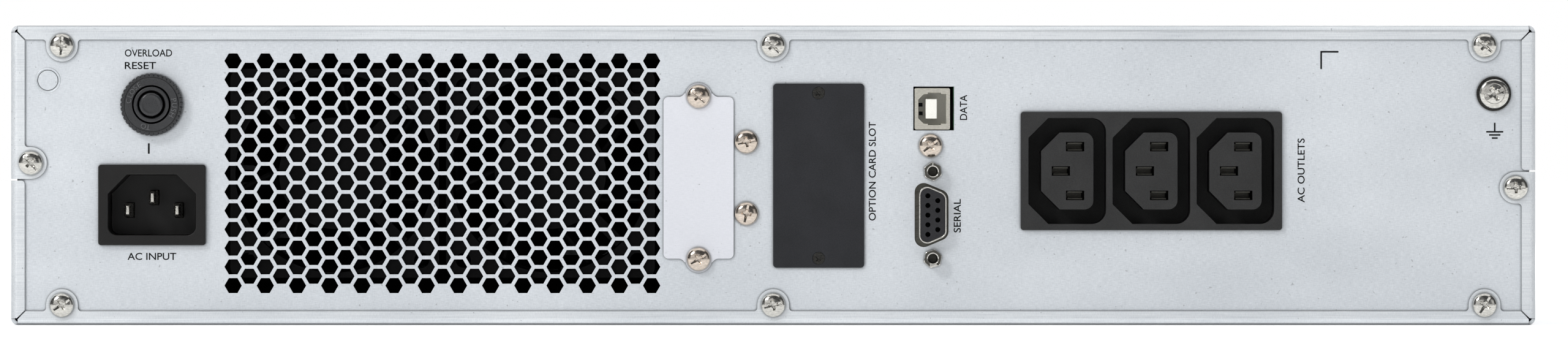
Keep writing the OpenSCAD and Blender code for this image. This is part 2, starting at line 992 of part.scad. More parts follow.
module serial_shell() {
    color(NICKEL)
        on_panel(port_x, serial_z) {
            difference() {
                union() {
                    translate([0, 0, -panel_t - 0.4])
                        linear_extrude(serial_proud + panel_t + 0.4)
                            serial_outline(7.9, 16.3, 2.4, 1.35);
                    translate([0, 0, -panel_t - 0.8])
                        linear_extrude(0.8)
                            rounded_rect(12.5, 30.8, 1);
                }
                translate([0, 0, -4])
                    linear_extrude(12)
                        serial_outline(7.1, 15.5, 2, 1.35);
                for (s = [-1, 1])
                    translate([0, s * jack_step / 2, -4])
                        cylinder(r = 1.65, h = 4);
            }
        }
}

module serial_core() {
    color(DARK_PLASTIC)
        on_panel(port_x, serial_z)
            difference() {
                union() {
                    translate([0, 0, -panel_t - 1.8])
                        linear_extrude(serial_proud + panel_t + 1.6)
                            serial_outline(7, 15.4, 1.95, 1.35);
                    translate([0, 0, -panel_t - 5.8])
                        linear_extrude(5)
                            rounded_rect(11, 18, 1);
                }
                for (i = [-2 : 2])
                    translate([-row_step / 2, i * pin_step, -4])
                        cylinder(d = 1.45, h = 12, $fn = 24);
                for (i = [-1.5 : 1.5])
                    translate([row_step / 2, i * pin_step, -4])
                        cylinder(d = 1.45, h = 12, $fn = 24);
            }
}

// Hexagonal standoffs with a tapped hole for the plug's screws
module jackscrews() {
    turns = [6, -12];
    color(NICKEL)
        for (i = [0, 1])
            on_panel(port_x, serial_z + (0.5 - i) * jack_step)
                rotate(turns[i] + 30)
                    difference() {
                        union() {
                            intersection() {
                                cylinder(d = 5.5, h = 4.9, $fn = 6);
                                translate([0, 0, -2.4])
                                    sphere(r = 7.7, $fn = 64);
                            }
                            translate([0, 0, -8])
                                cylinder(r = 1.5, h = 8 + EPS);
                        }
                        translate([0, 0, -3])
                            cylinder(r = 1.25, h = 10);
                        translate([0, 0, 4.5])
                            cylinder(r1 = 1.25, r2 = 1.65, h = 0.4 + EPS);
                    }
}

// Circuit board of the ports, standing against their flat side
module comm_board() {
    x = port_x + 5.9;
    y0 = y_inside + 1;
    color([0.1, 0.35, 0.2])
        slab([x, y0, 16], [x + 1.6, y0 + 66, 72]);
    color([0.12, 0.12, 0.12])
        for (z = [24, 44, 60])
            slab([x - 2, y0 + 30, z - 5], [x, y0 + 46, z + 5]);
    color(GALVANISED)
        difference() {
            union() {
                slab([comm_screw.x - 4, y_inside + boss_h + 0.2, 47], [x, y_inside + boss_h + 1, 56]);
                slab([x - 0.8, y_inside + boss_h + 0.2, 47], [x, y_inside + boss_h + 12, 56]);
            }
            on_panel(comm_screw.x, comm_screw.y, panel_t + 6)
                cylinder(r = 1.9, h = 6);
        }
}

module earth_screw() {
    washer_t = 0.8;
    color(NICKEL)
        on_panel(earth_at.x, earth_at.y) {
            difference() {
                cylinder(r = 4.95, h = washer_t);
                translate([0, 0, -CUT])
                    cylinder(r = 2.1, h = 3);
            }
            translate([0, 0, washer_t])
                pan_screw(8.4, 2.8, shank_r, 9, 28);
        }
}

/* ---------- fans ---------- */

module fan_place(x) {
    translate([x, y_inside, fan_z])
        rotate([-90, 0, 0])
            children();
}

module fan_frame(x) {
    hub_t = 3;
    color(BLACK_PLASTIC)
        fan_place(x)
            difference() {
                union() {
                    difference() {
                        linear_extrude(fan_t)
                            rounded_rect(fan_w, fan_w, 3);
                        translate([0, 0, -CUT])
                            cylinder(r = 28.5, h = fan_t + 2 * CUT, $fn = 96);
                    }
                    cylinder(r = hub_r, h = hub_t);
                    cylinder(r = 3, h = 16);
                    for (a = [45, 135, 225, 315])
                        rotate(a)
                            translate([hub_r - 1, -1.5, 0])
                                cube([13.2, 3, 2.5]);
                }
                translate([0, 0, hub_t])
                    cylinder(r = shaft_r + 0.05, h = fan_t);
                for (sx = [-1, 1], sy = [-1, 1])
                    translate([sx * 25, sy * 25, -CUT])
                        cylinder(r = 2.15, h = fan_t + 2 * CUT);
            }
}

module fan_frame_left() {
    fan_frame(fan_xs[0]);
}

module fan_frame_right() {
    fan_frame(fan_xs[1]);
}

// Cup with its shaft and tilted blades
module fan_rotor(x) {
    cup_z = 4;
    cup_h = 18;
    color([0.1, 0.1, 0.1])
        fan_place(x) {
            difference() {
                translate([0, 0, cup_z])
                    cylinder(r = hub_r, h = cup_h);
                translate([0, 0, cup_z - CUT])
                    cylinder(r = hub_r - 1.5, h = cup_h - 1.5 + CUT);
            }
            translate([0, 0, 5])
                cylinder(r = shaft_r, h = cup_h + cup_z - 5.5);
            intersection() {
                difference() {
                    translate([0, 0, cup_z])
                        cylinder(r = rotor_r, h = cup_h, $fn = 96);
                    translate([0, 0, cup_z - CUT])
                        cylinder(r = hub_r - 0.6, h = cup_h + 2 * CUT);
                }
                for (i = [0 : blades - 1])
                    rotate(i * 360 / blades)
                        translate([22, 0, cup_z + cup_h / 2])
                            rotate([42, 0, 0])
                                cube([16, 1.3, 24], center = true);
            }
        }
}

module fan_rotor_left() {
    fan_rotor(fan_xs[0]);
}

module fan_rotor_right() {
    fan_rotor(fan_xs[1]);
}

// Plate behind both fans with feet on the floor
module fan_bracket() {
    y0 = y_inside + fan_t;
    t = 1;
    color(BLACK_PLASTIC)
        difference() {
            union() {
                slab([fan_xs[0] - 34, y0, sheet_t], [fan_xs[1] + 34, y0 + t, fan_z + 33]);
                slab([fan_xs[0] - 34, y0, sheet_t], [fan_xs[1] + 34, y0 + 12, sheet_t + t]);
            }
            for (x = fan_xs) {
                translate([x, y0 - CUT, fan_z])
                    rotate([-90, 0, 0])
                        cylinder(r = 28, h = t + 2 * CUT, $fn = 96);
                for (sx = [-1, 1], sz = [-1, 1])
                    translate([x + sx * 25, y0 - CUT, fan_z + sz * 25])
                        rotate([-90, 0, 0])
                            cylinder(r = 2.15, h = t + 2 * CUT);
            }
        }
}

/* ---------- power electronics ---------- */

module main_board() {
    color([0.1, 0.35, 0.2])
        difference() {
            slab([board_x[0], board_y[0], board_z], [board_x[1], board_y[1], board_top]);
            for (p = standoff_points)
                translate([p.x, p.y, board_z - CUT])
                    cylinder(r = 1.6, h = 4);
        }
}

module board_standoffs() {
    color(NICKEL)
        for (p = standoff_points)
            translate([p.x, p.y, sheet_t]) {
                cylinder(d = 6.4, h = board_z - sheet_t, $fn = 6);
                cylinder(r = 1.45, h = board_z + 3.6 - sheet_t);
                translate([0, 0, board_z + 1.6 - sheet_t])
                    pan_head(5.5, 2.2, 0.6);
            }
}

// Finned aluminium bars that carry the power transistors
module heatsinks() {
    fin_step = 5;
    color([0.6, 0.61, 0.63])
        for (x = heatsink_xs)
            translate([x, heatsink_y[1], board_top])
                rotate([90, 0, 0])
                    linear_extrude(heatsink_y[1] - heatsink_y[0]) {
                        square([4, 58]);
                        for (i = [1 : 11])
                            translate([3.9, i * fin_step - 1])
                                square([22, 1.4]);
                    }
}

module bulk_capacitors() {
    color([0.12, 0.14, 0.3])
        for (p = capacitor_points)
            translate([p.x, p.y, board_top])
                difference() {
                    cylinder(r = 8.8, h = 42);
                    for (a = [0, 60, 120])
                        rotate(a)
                            translate([-5, -0.3, 41.6])
                                cube([10, 0.6, 1]);
                }
}

module inductors() {
    color([0.75, 0.45, 0.2])
        for (p = inductor_points)
            translate([p.x, p.y, board_top + 22.5])
                rotate([90, 0, 0])
                    rotate_extrude($fn = 64)
                        translate([15, 0])
                            circle(r = 7.4, $fn = 32);
}

module transformer() {
    at = [-40, board_y[1] - 60];
    color([0.2, 0.2, 0.2])
        difference() {
            slab([at.x - 27, at.y - 14, board_top], [at.x + 27, at.y + 14, board_top + 50]);
            for (s = [-1, 1])
                translate([at.x + s * 14 - 5.5, at.y - 15, board_z + 12])
                    cube([11, 30, 30]);
        }
    color([0.85, 0.75, 0.35])
        difference() {
            slab([at.x - 19, at.y - 24, board_z + 12.2], [at.x + 19, at.y + 24, board_z + 41.8]);
            slab([at.x - 19 - CUT, at.y - 14.1, board_z + 11], [at.x - 8.4, at.y + 14.1, board_z + 43]);
            slab([at.x + 8.4, at.y - 14.1, board_z + 11], [at.x + 19 + CUT, at.y + 14.1, board_z + 43]);
            slab([at.x - 8.5, at.y - 14.1, board_z + 11], [at.x + 8.5, at.y + 14.1, board_z + 43]);
        }
}

module relays() {
    color([0.16, 0.2, 0.28])
        for (i = [0 : 3])
            translate([-200, board_y[0] + 30 + i * 36, board_top])
                difference() {
                    cube([16, 29, 25]);
                    translate([13, 25, 24.6])
                        cylinder(r = 1, h = 1);
                }
}

// Leads from the inlet and the breaker to the main board
module input_leads() {
    pin_back = y_panel + inlet_depth - inlet_flange_t + inlet_back_t + tag_run + lead_r + 0.2;
    trip_back = y_inside + breaker_depth + tag_run + lead_r + 0.2;
    foot_z = board_top + lead_r + 0.1;
    low_z = inlet_z + inlet_pins_at[0].y;
    pin_xs = [inlet_x + inlet_pins_at[0].x, inlet_x + inlet_pins_at[1].x];
    trip_xs = [inlet_x - breaker_tag_x, inlet_x + breaker_tag_x];
    color([0.6, 0.15, 0.1]) {
        lead([[pin_xs[0], pin_back, low_z], [pin_xs[0], trip_back + 12, low_z],
              [trip_xs[0], trip_back + 12, breaker_z], [trip_xs[0], trip_back, breaker_z]], lead_r);
        lead([[trip_xs[1], trip_back, breaker_z], [trip_xs[1], trip_back + 24, breaker_z],
              [trip_xs[1], trip_back + 24, foot_z]], lead_r);
    }
    color([0.1, 0.2, 0.6])
        lead([[pin_xs[1], pin_back, low_z], [pin_xs[1], pin_back + 34, low_z],
              [inlet_x + 12, pin_back + 38, foot_z]], lead_r);
}

// Leads from the main board to the outlet block
module output_leads() {
    back = y_panel + outlet_depth - outlet_flange_t + outlet_tag_run + lead_r + 0.2;
    top_z = 76;
    for (i = [0, 1]) {
        x = outlet_x + outlet_slots_at[i].x;
        z = outlet_z + outlet_slots_at[i].y;
        turn_y = back + 16 + 8 * i;
        foot = [-14, board_y[0] + 20 + 8 * i];
        color(i == 0 ? [0.6, 0.15, 0.1] : [0.1, 0.2, 0.6])
            lead([[x, back, z], [x, turn_y, z], [outlet_x - 20, turn_y + 4, top_z],
                  [14, turn_y + 4, top_z], [foot.x, foot.y, top_z],
                  [foot.x, foot.y, board_top + lead_r + 0.1]], lead_r);
    }
}

/* ---------- front frame and bezel ---------- */

module frame_windows() {
    translate([drawer_x, (door_z[0] + door_z[1]) / 2])
        square([door_w, door_z[1] - door_z[0]], center = true);
    translate([display_x, 44])
        rounded_rect(76, 40, 3);
    for (i = [0 : 5])
        translate([-196 + i * 22, mid_z])
            rounded_rect(17, 56, 2);
}

// Folded plate that closes the front of the case behind the bezel
module front_frame() {
    w = case_w - 2 * frame_edge;
    h = case_h - 2 * frame_edge;
    t = frame_t;
    color(GALVANISED)
        difference() {
            union() {
                translate([0, y_mouth, 0])
                    rotate([90, 0, 0])
                        linear_extrude(t)
                            difference() {
                                translate([0, mid_z])
                                    rounded_rect(w, h, 2);
                                frame_windows();
                            }
                for (z = [frame_edge, case_h - frame_edge - t])
                    slab([-w / 2 + 4, y_mouth - 14, z], [w / 2 - 4, y_frame + EPS, z + t]);
                for (x = [-w / 2, w / 2 - t])
                    slab([x, y_mouth - frame_flange, 8], [x + t, y_frame + EPS, case_h - 8]);
            }
            for (sy = [-1, 1], sz = [-1, 1])
                translate([-half_w, ear_y + sy * ear_step_y / 2, mid_z + sz * ear_step_z / 2])
                    rotate([0, 90, 0])
                        cylinder(r = pass_r, h = case_w);
            for (x = frame_screw_xs) {
                translate([-x, frame_screw_y, -CUT])
                    cylinder(r = 1.3, h = 5);
                translate([x, frame_screw_y, case_h - 4])
                    cylinder(r = 1.3, h = 5);
            }
            for (x = thumb_xs)
                translate([x, y_frame - CUT, mid_z])
                    rotate([-90, 0, 0])
                        cylinder(r = pass_r, h = t + 2 * CUT);
        }
}

// Countersunk screws that hold the shells to the front frame
module frame_screws() {
    color(NICKEL)
        for (flip = [0, 1])
            translate([0, 0, flip * case_h])
                rotate([0, flip * 180, 0])
                    for (x = frame_screw_xs)
                        translate([-x, frame_screw_y, 0])
                            difference() {
                                union() {
                                    cylinder(r1 = 2.85, r2 = 1.65, h = 1);
                                    cylinder(r = 1.25, h = 2.7);
                                }
                                for (a = [0, 90])
                                    rotate(a + 20 * flip + 15)
                                        translate([-1.5, -0.3, -CUT])
                                            cube([3, 0.6, CUT + 0.6]);
                            }
}

module clinch_nut() {
    difference() {
        cylinder(r = nut_r, h = nut_h);
        translate([0, 0, -CUT])
            cylinder(r = thread_r, h = nut_h + 2 * CUT);
    }
}

module clinch_nuts() {
    inner_x = half_w - frame_edge - frame_t;
    color(NICKEL) {
        for (s = [-1, 1], sy = [-1, 1], sz = [-1, 1])
            translate([s * inner_x, ear_y + sy * ear_step_y / 2, mid_z + sz * ear_step_z / 2])
                rotate([0, -90 * s, 0])
                    clinch_nut();
        for (x = thumb_xs)
            translate([x, y_frame, mid_z])
                rotate([90, 0, 0])
                    clinch_nut();
    }
}

// Outline of a block with its corners at the far end cut, for the cap's edges
module cut_outline(w, run, c) {
    polygon([[-w / 2, 0], [w / 2, 0], [w / 2, run - c], [w / 2 - c, run],
             [c - w / 2, run], [-w / 2, run - c]]);
}

// Hollow cap with chamfered front edges, between two X values
module cap_body(x0, x1) {
    w = x1 - x0;
    translate([(x0 + x1) / 2, 0, 0])
        difference() {
            intersection() {
                translate([0, y_face, mid_z])
                    rotate([90, 0, 0])
                        linear_extrude(bezel_t)
                            rounded_rect(w, case_h, 2);
                translate([0, y_mouth, -CUT])
                    linear_extrude(case_h + 2 * CUT)
                        cut_outline(w, bezel_t, cap_chamfer);
                translate([-w / 2 - CUT, y_mouth, mid_z])
                    rotate([90, 0, 90])
                        linear_extrude(w + 2 * CUT)
                            rotate(-90)
                                cut_outline(case_h, bezel_t, cap_chamfer);
            }
            translate([0, y_face - bezel_wall - cap_chamfer, mid_z])
                rotate([90, 0, 0])
                    linear_extrude(bezel_t)
                        rounded_rect(w - 2 * bezel_wall, case_h - 2 * bezel_wall, 1.5);
        }
}

module front_bezel() {
    x1 = fascia_x[0] - bezel_gap;
    slot_step = 6;
    color(BLACK_PLASTIC)
        difference() {
            cap_body(-half_w, x1);
            for (x = [intake_x[0] : slot_step : intake_x[1]])
                translate([x, y_face + CUT, mid_z])
                    rotate([90, 0, 0])
                        linear_extrude(8)
                            upright_slot(3, intake_h);
            on_front(display_x, 42, field_sink)
                linear_extrude(3)
                    rounded_rect(88, 66, 4);
            on_front(display_x, display_z, 8)
                linear_extrude(10)
                    rounded_rect(display_w - 4, display_h - 4, 2);
            on_front(display_x, display_z, field_sink + 1.2)
                linear_extrude(3)
                    rounded_rect(display_w, display_h, 3);
            for (x = button_xs)
                on_front(x, button_z, 8)
                    cylinder(d = button_d + 0.5, h = 10);
            for (x = light_xs)
                on_front(x, light_z, 8)
                    cylinder(d = 3.1, h = 10);
        }
}

// Foam pad between the bezel's air slots and the front frame
module air_filter() {
    color([0.12, 0.12, 0.12])
        slab([intake_x[0] - 5, y_mouth, 8], [intake_x[1] + 5, y_mouth + filter_t, case_h - 8]);
}

module display_window() {
    color([0.1, 0.12, 0.14, 0.5])
        on_front(display_x, display_z, field_sink + 1.2)
            linear_extrude(1)
                rounded_rect(display_w - 0.4, display_h - 0.4, 2.8);
}

// Board with the liquid crystal module and the button switches
module display_board() {
    y = y_face - 13;
    color([0.1, 0.35, 0.2])
        slab([display_x - 41, y - 1.6, 9], [display_x + 41, y, 76]);
    color([0.45, 0.55, 0.5])
        slab([display_x - 32, y, display_z - 15], [display_x + 32, y + 7, display_z + 15]);
    color([0.15, 0.15, 0.15])
        for (x = button_xs)
            slab([x - 3, y, button_z - 3], [x + 3, y + 3.2, button_z + 3]);
}

module status_lights() {
    color([0.8, 0.9, 0.8, 0.8])
        for (x = light_xs)
            on_front(x, light_z, field_sink) {
                translate([0, 0, -11])
                    cylinder(d = 2.9, h = 11);
                translate([0, 0, -11])
                    cylinder(d = 4.4, h = 6);
            }
}

// Round cap, a flange that keeps it in the bezel and a stem to its switch
module button_cap(i) {
    color([0.3, 0.31, 0.32])
        on_front(button_xs[i], button_z, field_sink) {
            translate([0, 0, -4.2])
                cylinder(d = button_d, h = 4.2);
            translate([0, 0, -EPS])
                cylinder(d1 = button_d, d2 = button_d - 1, h = 0.5);
            translate([0, 0, -4.2])
                cylinder(d = button_d + 2.6, h = 1.2);
            translate([0, 0, -7.4])
                cylinder(d = 3, h = 4);
        }
}

module power_button() {
    button_cap(0);
}

module mute_button() {
    button_cap(1);
}

module select_button() {
    button_cap(2);
}

module enter_button() {
    button_cap(3);
}

/* ---------- battery bay and drawer ---------- */

// Divider along the bay, turned round its inner end
module bay_wall() {
    t = 1;
    color(GALVANISED) {
        difference() {
            union() {
                slab([bay_x - t, bay_end_y, sheet_t], [bay_x, y_frame - 14, case_h - sheet_t - 1]);
                slab([bay_x - t, bay_end_y - t, sheet_t],
                     [half_w - sheet_t - 2, bay_end_y, case_h - sheet_t - 1]);
                slab([bay_x - 10, bay_end_y, sheet_t], [bay_x, y_frame - 14, sheet_t + t]);
            }
            translate([bay_x - 12, y_frame - 50, 60])
                rotate([0, 90, 0])
                    cylinder(r = 8, h = 20);
        }
    }
}

module tray_guides() {
    color([0.9, 0.9, 0.88])
        for (s = [-1, 1])
            translate([drawer_x + s * 66 - 6, tray_y[0], sheet_t])
                cube([12, y_frame - 15 - tray_y[0], guide_t]);
}

// Sheet tray with low side walls; its front plate is wider than the opening it closes
module battery_tray() {
    x0 = drawer_x - tray_w / 2;
    x1 = drawer_x + tray_w / 2;
    wall_h = 32;
    front_gap = 0.1;
    plate_z = [5, 81];
    color(GALVANISED)
        difference() {
            union() {
                slab([x0, tray_y[0], tray_z], [x1, y_mouth + front_gap + 1, tray_z + tray_t]);
                for (x = [x0, x1 - tray_t])
                    slab([x, tray_y[0], tray_z], [x + tray_t, y_mouth + front_gap + 1, tray_z + wall_h]);
                slab([x0, tray_y[0], tray_z], [x1, tray_y[0] + tray_t, tray_z + 22]);
                slab([fascia_x[0] + 3.2, y_mouth + front_gap, tray_z],
                     [half_w - 3.2, y_mouth + front_gap + tray_t, plate_z[1]]);
            }
            for (x = thumb_xs)
                translate([x, y_mouth - CUT, mid_z])
                    rotate([-90, 0, 0])
                        cylinder(r = pass_r, h = 4);
            translate([drawer_x, y_mouth - CUT, 60])
                rotate([-90, 0, 0])
                    cylinder(r = 6, h = 4);
        }
}

// Three sealed lead-acid blocks lying across the tray
module batteries() {
    z0 = tray_z + tray_t;
    terminal = 4.5;
    color([0.2, 0.2, 0.21])
        for (y = battery_ys)
            translate([drawer_x, y, z0]) {
                difference() {
                    linear_extrude(battery_h)
                        rounded_rect(battery_w, battery_l - 2, 2);
                    for (i = [0 : 5])
                        translate([-battery_w / 2 + 14 + i * 24.6, 0, battery_h - 0.8])
                            linear_extrude(2)
                                rounded_rect(20, 60, 3);
                    for (s = [-1, 1])
                        translate([s * terminal_dx, -battery_l / 2 + 13, battery_h - 3])
                            linear_extrude(4)
                                square([14, 16], center = true);
                }
                for (s = [-1, 1])
                    translate([s * terminal_dx, -battery_l / 2 + 13, battery_h - 3])
                        linear_extrude(terminal + 3)
                            square([4.8, 0.8], center = true);
            }
}

// Links between the blocks, and the pair of leads that ends in a plug at the front
module battery_leads() {
    foot_z = tray_z + tray_t + battery_h + 6.3;
    top = foot_z + 2.6;
    ty = [for (y = battery_ys) y - battery_l / 2 + 13];
    left = drawer_x - terminal_dx;
    right = drawer_x + terminal_dx;
    plug_y = y_mouth - 26;
    color([0.75, 0.1, 0.1]) {
        lead([[left, ty[2], foot_z], [left, ty[2], top], [left + 12, plug_y - 8, top],
              [drawer_x - 5, plug_y, top]], lead_r);
        for (i = [1, 2])
            lead([[right, ty[i], foot_z], [right, ty[i], top], [left, ty[i - 1], top],
                  [left, ty[i - 1], foot_z]], lead_r);
    }
    color([0.1, 0.1, 0.1])
        lead([[right, ty[0], foot_z], [right, ty[0], top], [right + 8, ty[0] + 14, top],
              [right + 8, plug_y - 20, top], [drawer_x + 5, plug_y, top]], lead_r);
    color([0.8, 0.8, 0.75])
        slab([drawer_x - 11, plug_y, top - 7], [drawer_x + 11, plug_y + 20, top + lead_r]);
}

// Battery drawer's cover with a finger pull and wells for the thumbscrews
module drawer_fascia() {
    color(BLACK_PLASTIC)
        difference() {
            union() {
                cap_body(fascia_x[0], fascia_x[1]);
                on_front(drawer_x, (pull_z[0] + pull_z[1]) / 2, 17.5)
                    linear_extrude(16)
                        rounded_rect(pull_w + 5, pull_z[1] - pull_z[0] + 5, 5);
                for (x = thumb_xs)
                    on_front(x, mid_z, bezel_t - 1.6)
                        linear_extrude(bezel_t - 3)
                            well_outline(x, 9);
            }
            on_front(drawer_x, (pull_z[0] + pull_z[1]) / 2, 15)
                linear_extrude(20)
                    rounded_rect(pull_w, pull_z[1] - pull_z[0], 4);
            for (x = thumb_xs) {
                on_front(x, mid_z, bezel_t - 3.5)
                    linear_extrude(bezel_t + 2)
                        well_outline(x, 7.4);
                on_front(x, mid_z, bezel_t + CUT)
                    cylinder(r = 2.6, h = 8);
            }
            for (i = [0 : 7])
                on_front(drawer_x, 56 + i * 2.9, 1)
                    linear_extrude(3)
                        rotate(90)
                            upright_slot(1.4, 132);
        }
}

// Round well, kept inside the case's side
module well_outline(x, r) {
    intersection() {
        circle(r = r);
        translate([-(x > drawer_x ? half_w - x - 0.6 : 20), -r - 1])
            square([(x > drawer_x ? half_w - x - 0.6 : 20) + 20, 2 * r + 2]);
    }
}

// Knurled captive screw that holds the drawer to the front frame
module thumbscrew(x) {
    head_z = -bezel_t + 4;
    color(NICKEL)
        on_front(x, mid_z) {
            translate([0, 0, head_z])
                difference() {
                    linear_extrude(11)
                        difference() {
                            circle(r = thumb_head_r);
                            for (i = [0 : 29])
                                rotate(i * 12)
                                    translate([thumb_head_r + 0.25, 0])
                                        circle(r = 0.5, $fn = 12);
                        }
                    translate([-8, -0.6, 9.8])
                        cube([16, 1.2, 2]);
                }
            translate([0, 0, -bezel_t - frame_t - nut_h - 2])
                cylinder(r = 1.6, h = nut_h + frame_t + 2 + 4 + EPS);
        }
}

module thumbscrew_left() {
    thumbscrew(thumb_xs[0]);
}

module thumbscrew_right() {
    thumbscrew(thumb_xs[1]);
}

upper_shell();
lower_shell();
seam_strips();
rear_panel();
shell_screws();
panel_screws();
clinch_stud();
front_frame();
frame_screws();
clinch_nuts();
front_bezel();
air_filter();
display_window();
display_board();
status_lights();
power_button();
mute_button();
select_button();
enter_button();
inlet_housing();
inlet_pins();
breaker_body();
breaker_collar();
breaker_button();
breaker_terminals();
outlet_block();
outlet_contacts();
slot_cover();
slot_cover_screws();
card_cage();
connector_cover();
usb_shell();
usb_core();
serial_shell();
serial_core();
jackscrews();
comm_board();
earth_screw();
fan_frame_left();
fan_frame_right();
fan_rotor_left();
fan_rotor_right();
fan_bracket();
main_board();
board_standoffs();
heatsinks();
bulk_capacitors();
inductors();
transformer();
relays();
input_leads();
output_leads();
bay_wall();
tray_guides();
drawer_fascia();
thumbscrew_left();
thumbscrew_right();
battery_tray();
batteries();
battery_leads();
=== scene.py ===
"""Rackmount power supply with a battery drawer: looks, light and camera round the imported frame.

The connector panel faces -Y, the bezel faces +Y and the case stands on Z = 0. All lengths are metres.
"""

import math

import bmesh
import bpy
from mathutils import Matrix, Vector


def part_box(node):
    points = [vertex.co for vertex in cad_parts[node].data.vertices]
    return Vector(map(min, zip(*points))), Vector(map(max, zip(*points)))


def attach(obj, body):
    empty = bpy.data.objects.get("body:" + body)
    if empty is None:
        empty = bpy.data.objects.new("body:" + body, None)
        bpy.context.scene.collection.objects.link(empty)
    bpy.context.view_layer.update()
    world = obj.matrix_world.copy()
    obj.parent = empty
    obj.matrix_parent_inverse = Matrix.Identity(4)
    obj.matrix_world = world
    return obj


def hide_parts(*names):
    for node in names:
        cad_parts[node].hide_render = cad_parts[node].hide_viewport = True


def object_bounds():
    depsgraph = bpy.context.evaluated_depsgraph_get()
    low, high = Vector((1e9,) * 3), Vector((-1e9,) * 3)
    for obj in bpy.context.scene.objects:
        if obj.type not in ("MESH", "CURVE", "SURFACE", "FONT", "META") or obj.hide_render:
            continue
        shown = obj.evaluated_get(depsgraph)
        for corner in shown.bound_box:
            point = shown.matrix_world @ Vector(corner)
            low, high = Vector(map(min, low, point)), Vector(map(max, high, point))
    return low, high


MM = 0.001

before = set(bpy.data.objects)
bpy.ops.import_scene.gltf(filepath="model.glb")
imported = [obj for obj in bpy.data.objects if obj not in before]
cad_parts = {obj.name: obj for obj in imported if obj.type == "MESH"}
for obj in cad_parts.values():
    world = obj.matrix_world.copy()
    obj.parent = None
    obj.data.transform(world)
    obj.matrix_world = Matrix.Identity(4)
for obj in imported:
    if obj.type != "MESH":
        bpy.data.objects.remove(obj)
cad_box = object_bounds()

CAD_HIGH = cad_box[1]
MID_Z = CAD_HIGH.z / 2
LIP_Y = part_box("upper_shell")[0].y      # outer face of the lips round the rear panel
PANEL_Y = LIP_Y + 1.0 * MM              # outer face of the rear panel
FACE_Y = CAD_HIGH.y                     # face of the bezel


# ---------- colours and material nodes ----------

NOISE_LOW, NOISE_HIGH = 0.3, 0.7        # a noise seldom leaves this range
TONE_SPAN = (0.32, 0.68)                # and a mix of two noises this one


def hex_color(code):
    """Linear RGBA of an sRGB colour written as #rrggbb."""
    parts = [int(code[i:i + 2], 16) / 255 for i in (1, 3, 5)]
    linear = [p / 12.92 if p <= 0.04045 else ((p + 0.055) / 1.055) ** 2.4 for p in parts]
    return (*linear, 1.0)


def add_node(tree, kind, settings=None, **links):
    """A new node of that kind with its values set and its sockets linked, where _1 is socket number 1."""
    node = tree.nodes.new(kind)
    for name, value in (settings or {}).items():
        if name in node.inputs:
            node.inputs[name].default_value = value
        else:
            setattr(node, name, value)
    for name, source in links.items():
        socket = int(name[1:]) if name[0] == "_" else name.replace("_", " ")
        tree.links.new(source, node.inputs[socket])
    return node


def start_material(name, **sockets):
    """A material with its shader's constant values set; returns the material, its tree and its shader."""
    material = bpy.data.materials.new(name)
    material.use_nodes = True
    tree = material.node_tree
    shader = tree.nodes["Principled BSDF"]
    for socket, value in sockets.items():
        shader.inputs[socket.replace("_", " ")].default_value = value
    return material, tree, shader


def grain(tree, size_mm, detail=2.0, offset=(0.0, 0.0, 0.0)):
    """Noise in object space whose features measure size_mm along X, Y and Z."""
    spot = add_node(tree, "ShaderNodeTexCoord")
    scale = tuple(1 / (size * MM) for size in size_mm)
    mapped = add_node(tree, "ShaderNodeMapping", {"Scale": scale, "Location": offset},
                      Vector=spot.outputs["Object"])
    noise = add_node(tree, "ShaderNodeTexNoise", {"Scale": 1.0, "Detail": detail, "Roughness": 0.5},
                     Vector=mapped.outputs["Vector"])
    return noise.outputs["Fac"]


def two_tone(tree, factor, span, dark, light):
    """A colour that runs from dark to light as factor crosses the span."""
    share = add_node(tree, "ShaderNodeMapRange", {"From Min": span[0], "From Max": span[1]}, Value=factor)
    mixed = add_node(tree, "ShaderNodeMixRGB", {"Color1": hex_color(dark), "Color2": hex_color(light)},
                     Fac=share.outputs["Result"])
    return mixed.outputs["Color"]


def dress(tree, shader, colour, wear, rough, relief, depth_mm):
    """Links the colour, a roughness that follows the wear, and a relief that rises by depth_mm."""
    gloss = add_node(tree, "ShaderNodeMapRange",
                     {"From Min": NOISE_LOW, "From Max": NOISE_HIGH, "To Min": rough[0], "To Max": rough[1]},
                     Value=wear)
    raised = add_node(tree, "ShaderNodeBump", {"Strength": 1.0, "Distance": depth_mm * MM}, Height=relief)
    tree.links.new(colour, shader.inputs["Base Color"])
    tree.links.new(gloss.outputs["Result"], shader.inputs["Roughness"])
    tree.links.new(raised.outputs["Normal"], shader.inputs["Normal"])


def painted_corner_shade(tree, colour, shade_colour, reach_mm):
    """The colour, darkened in the corners by painted shade wherever ambient occlusion finds other surfaces
    within reach_mm.
    """
    enclosed, open_enough, most = 0.45, 0.92, 0.75
    shut_in = add_node(tree, "ShaderNodeAmbientOcclusion", {"samples": 8, "Distance": reach_mm * MM})
    amount = add_node(tree, "ShaderNodeMapRange",
                      {"From Min": enclosed, "From Max": open_enough, "To Min": most, "To Max": 0.0},
                      Value=shut_in.outputs["AO"])
    mixed = add_node(tree, "ShaderNodeMixRGB", {"Color2": hex_color(shade_colour)}, Fac=amount.outputs["Result"],
                     Color1=colour)
    return mixed.outputs["Color"]


# ---------- materials ----------

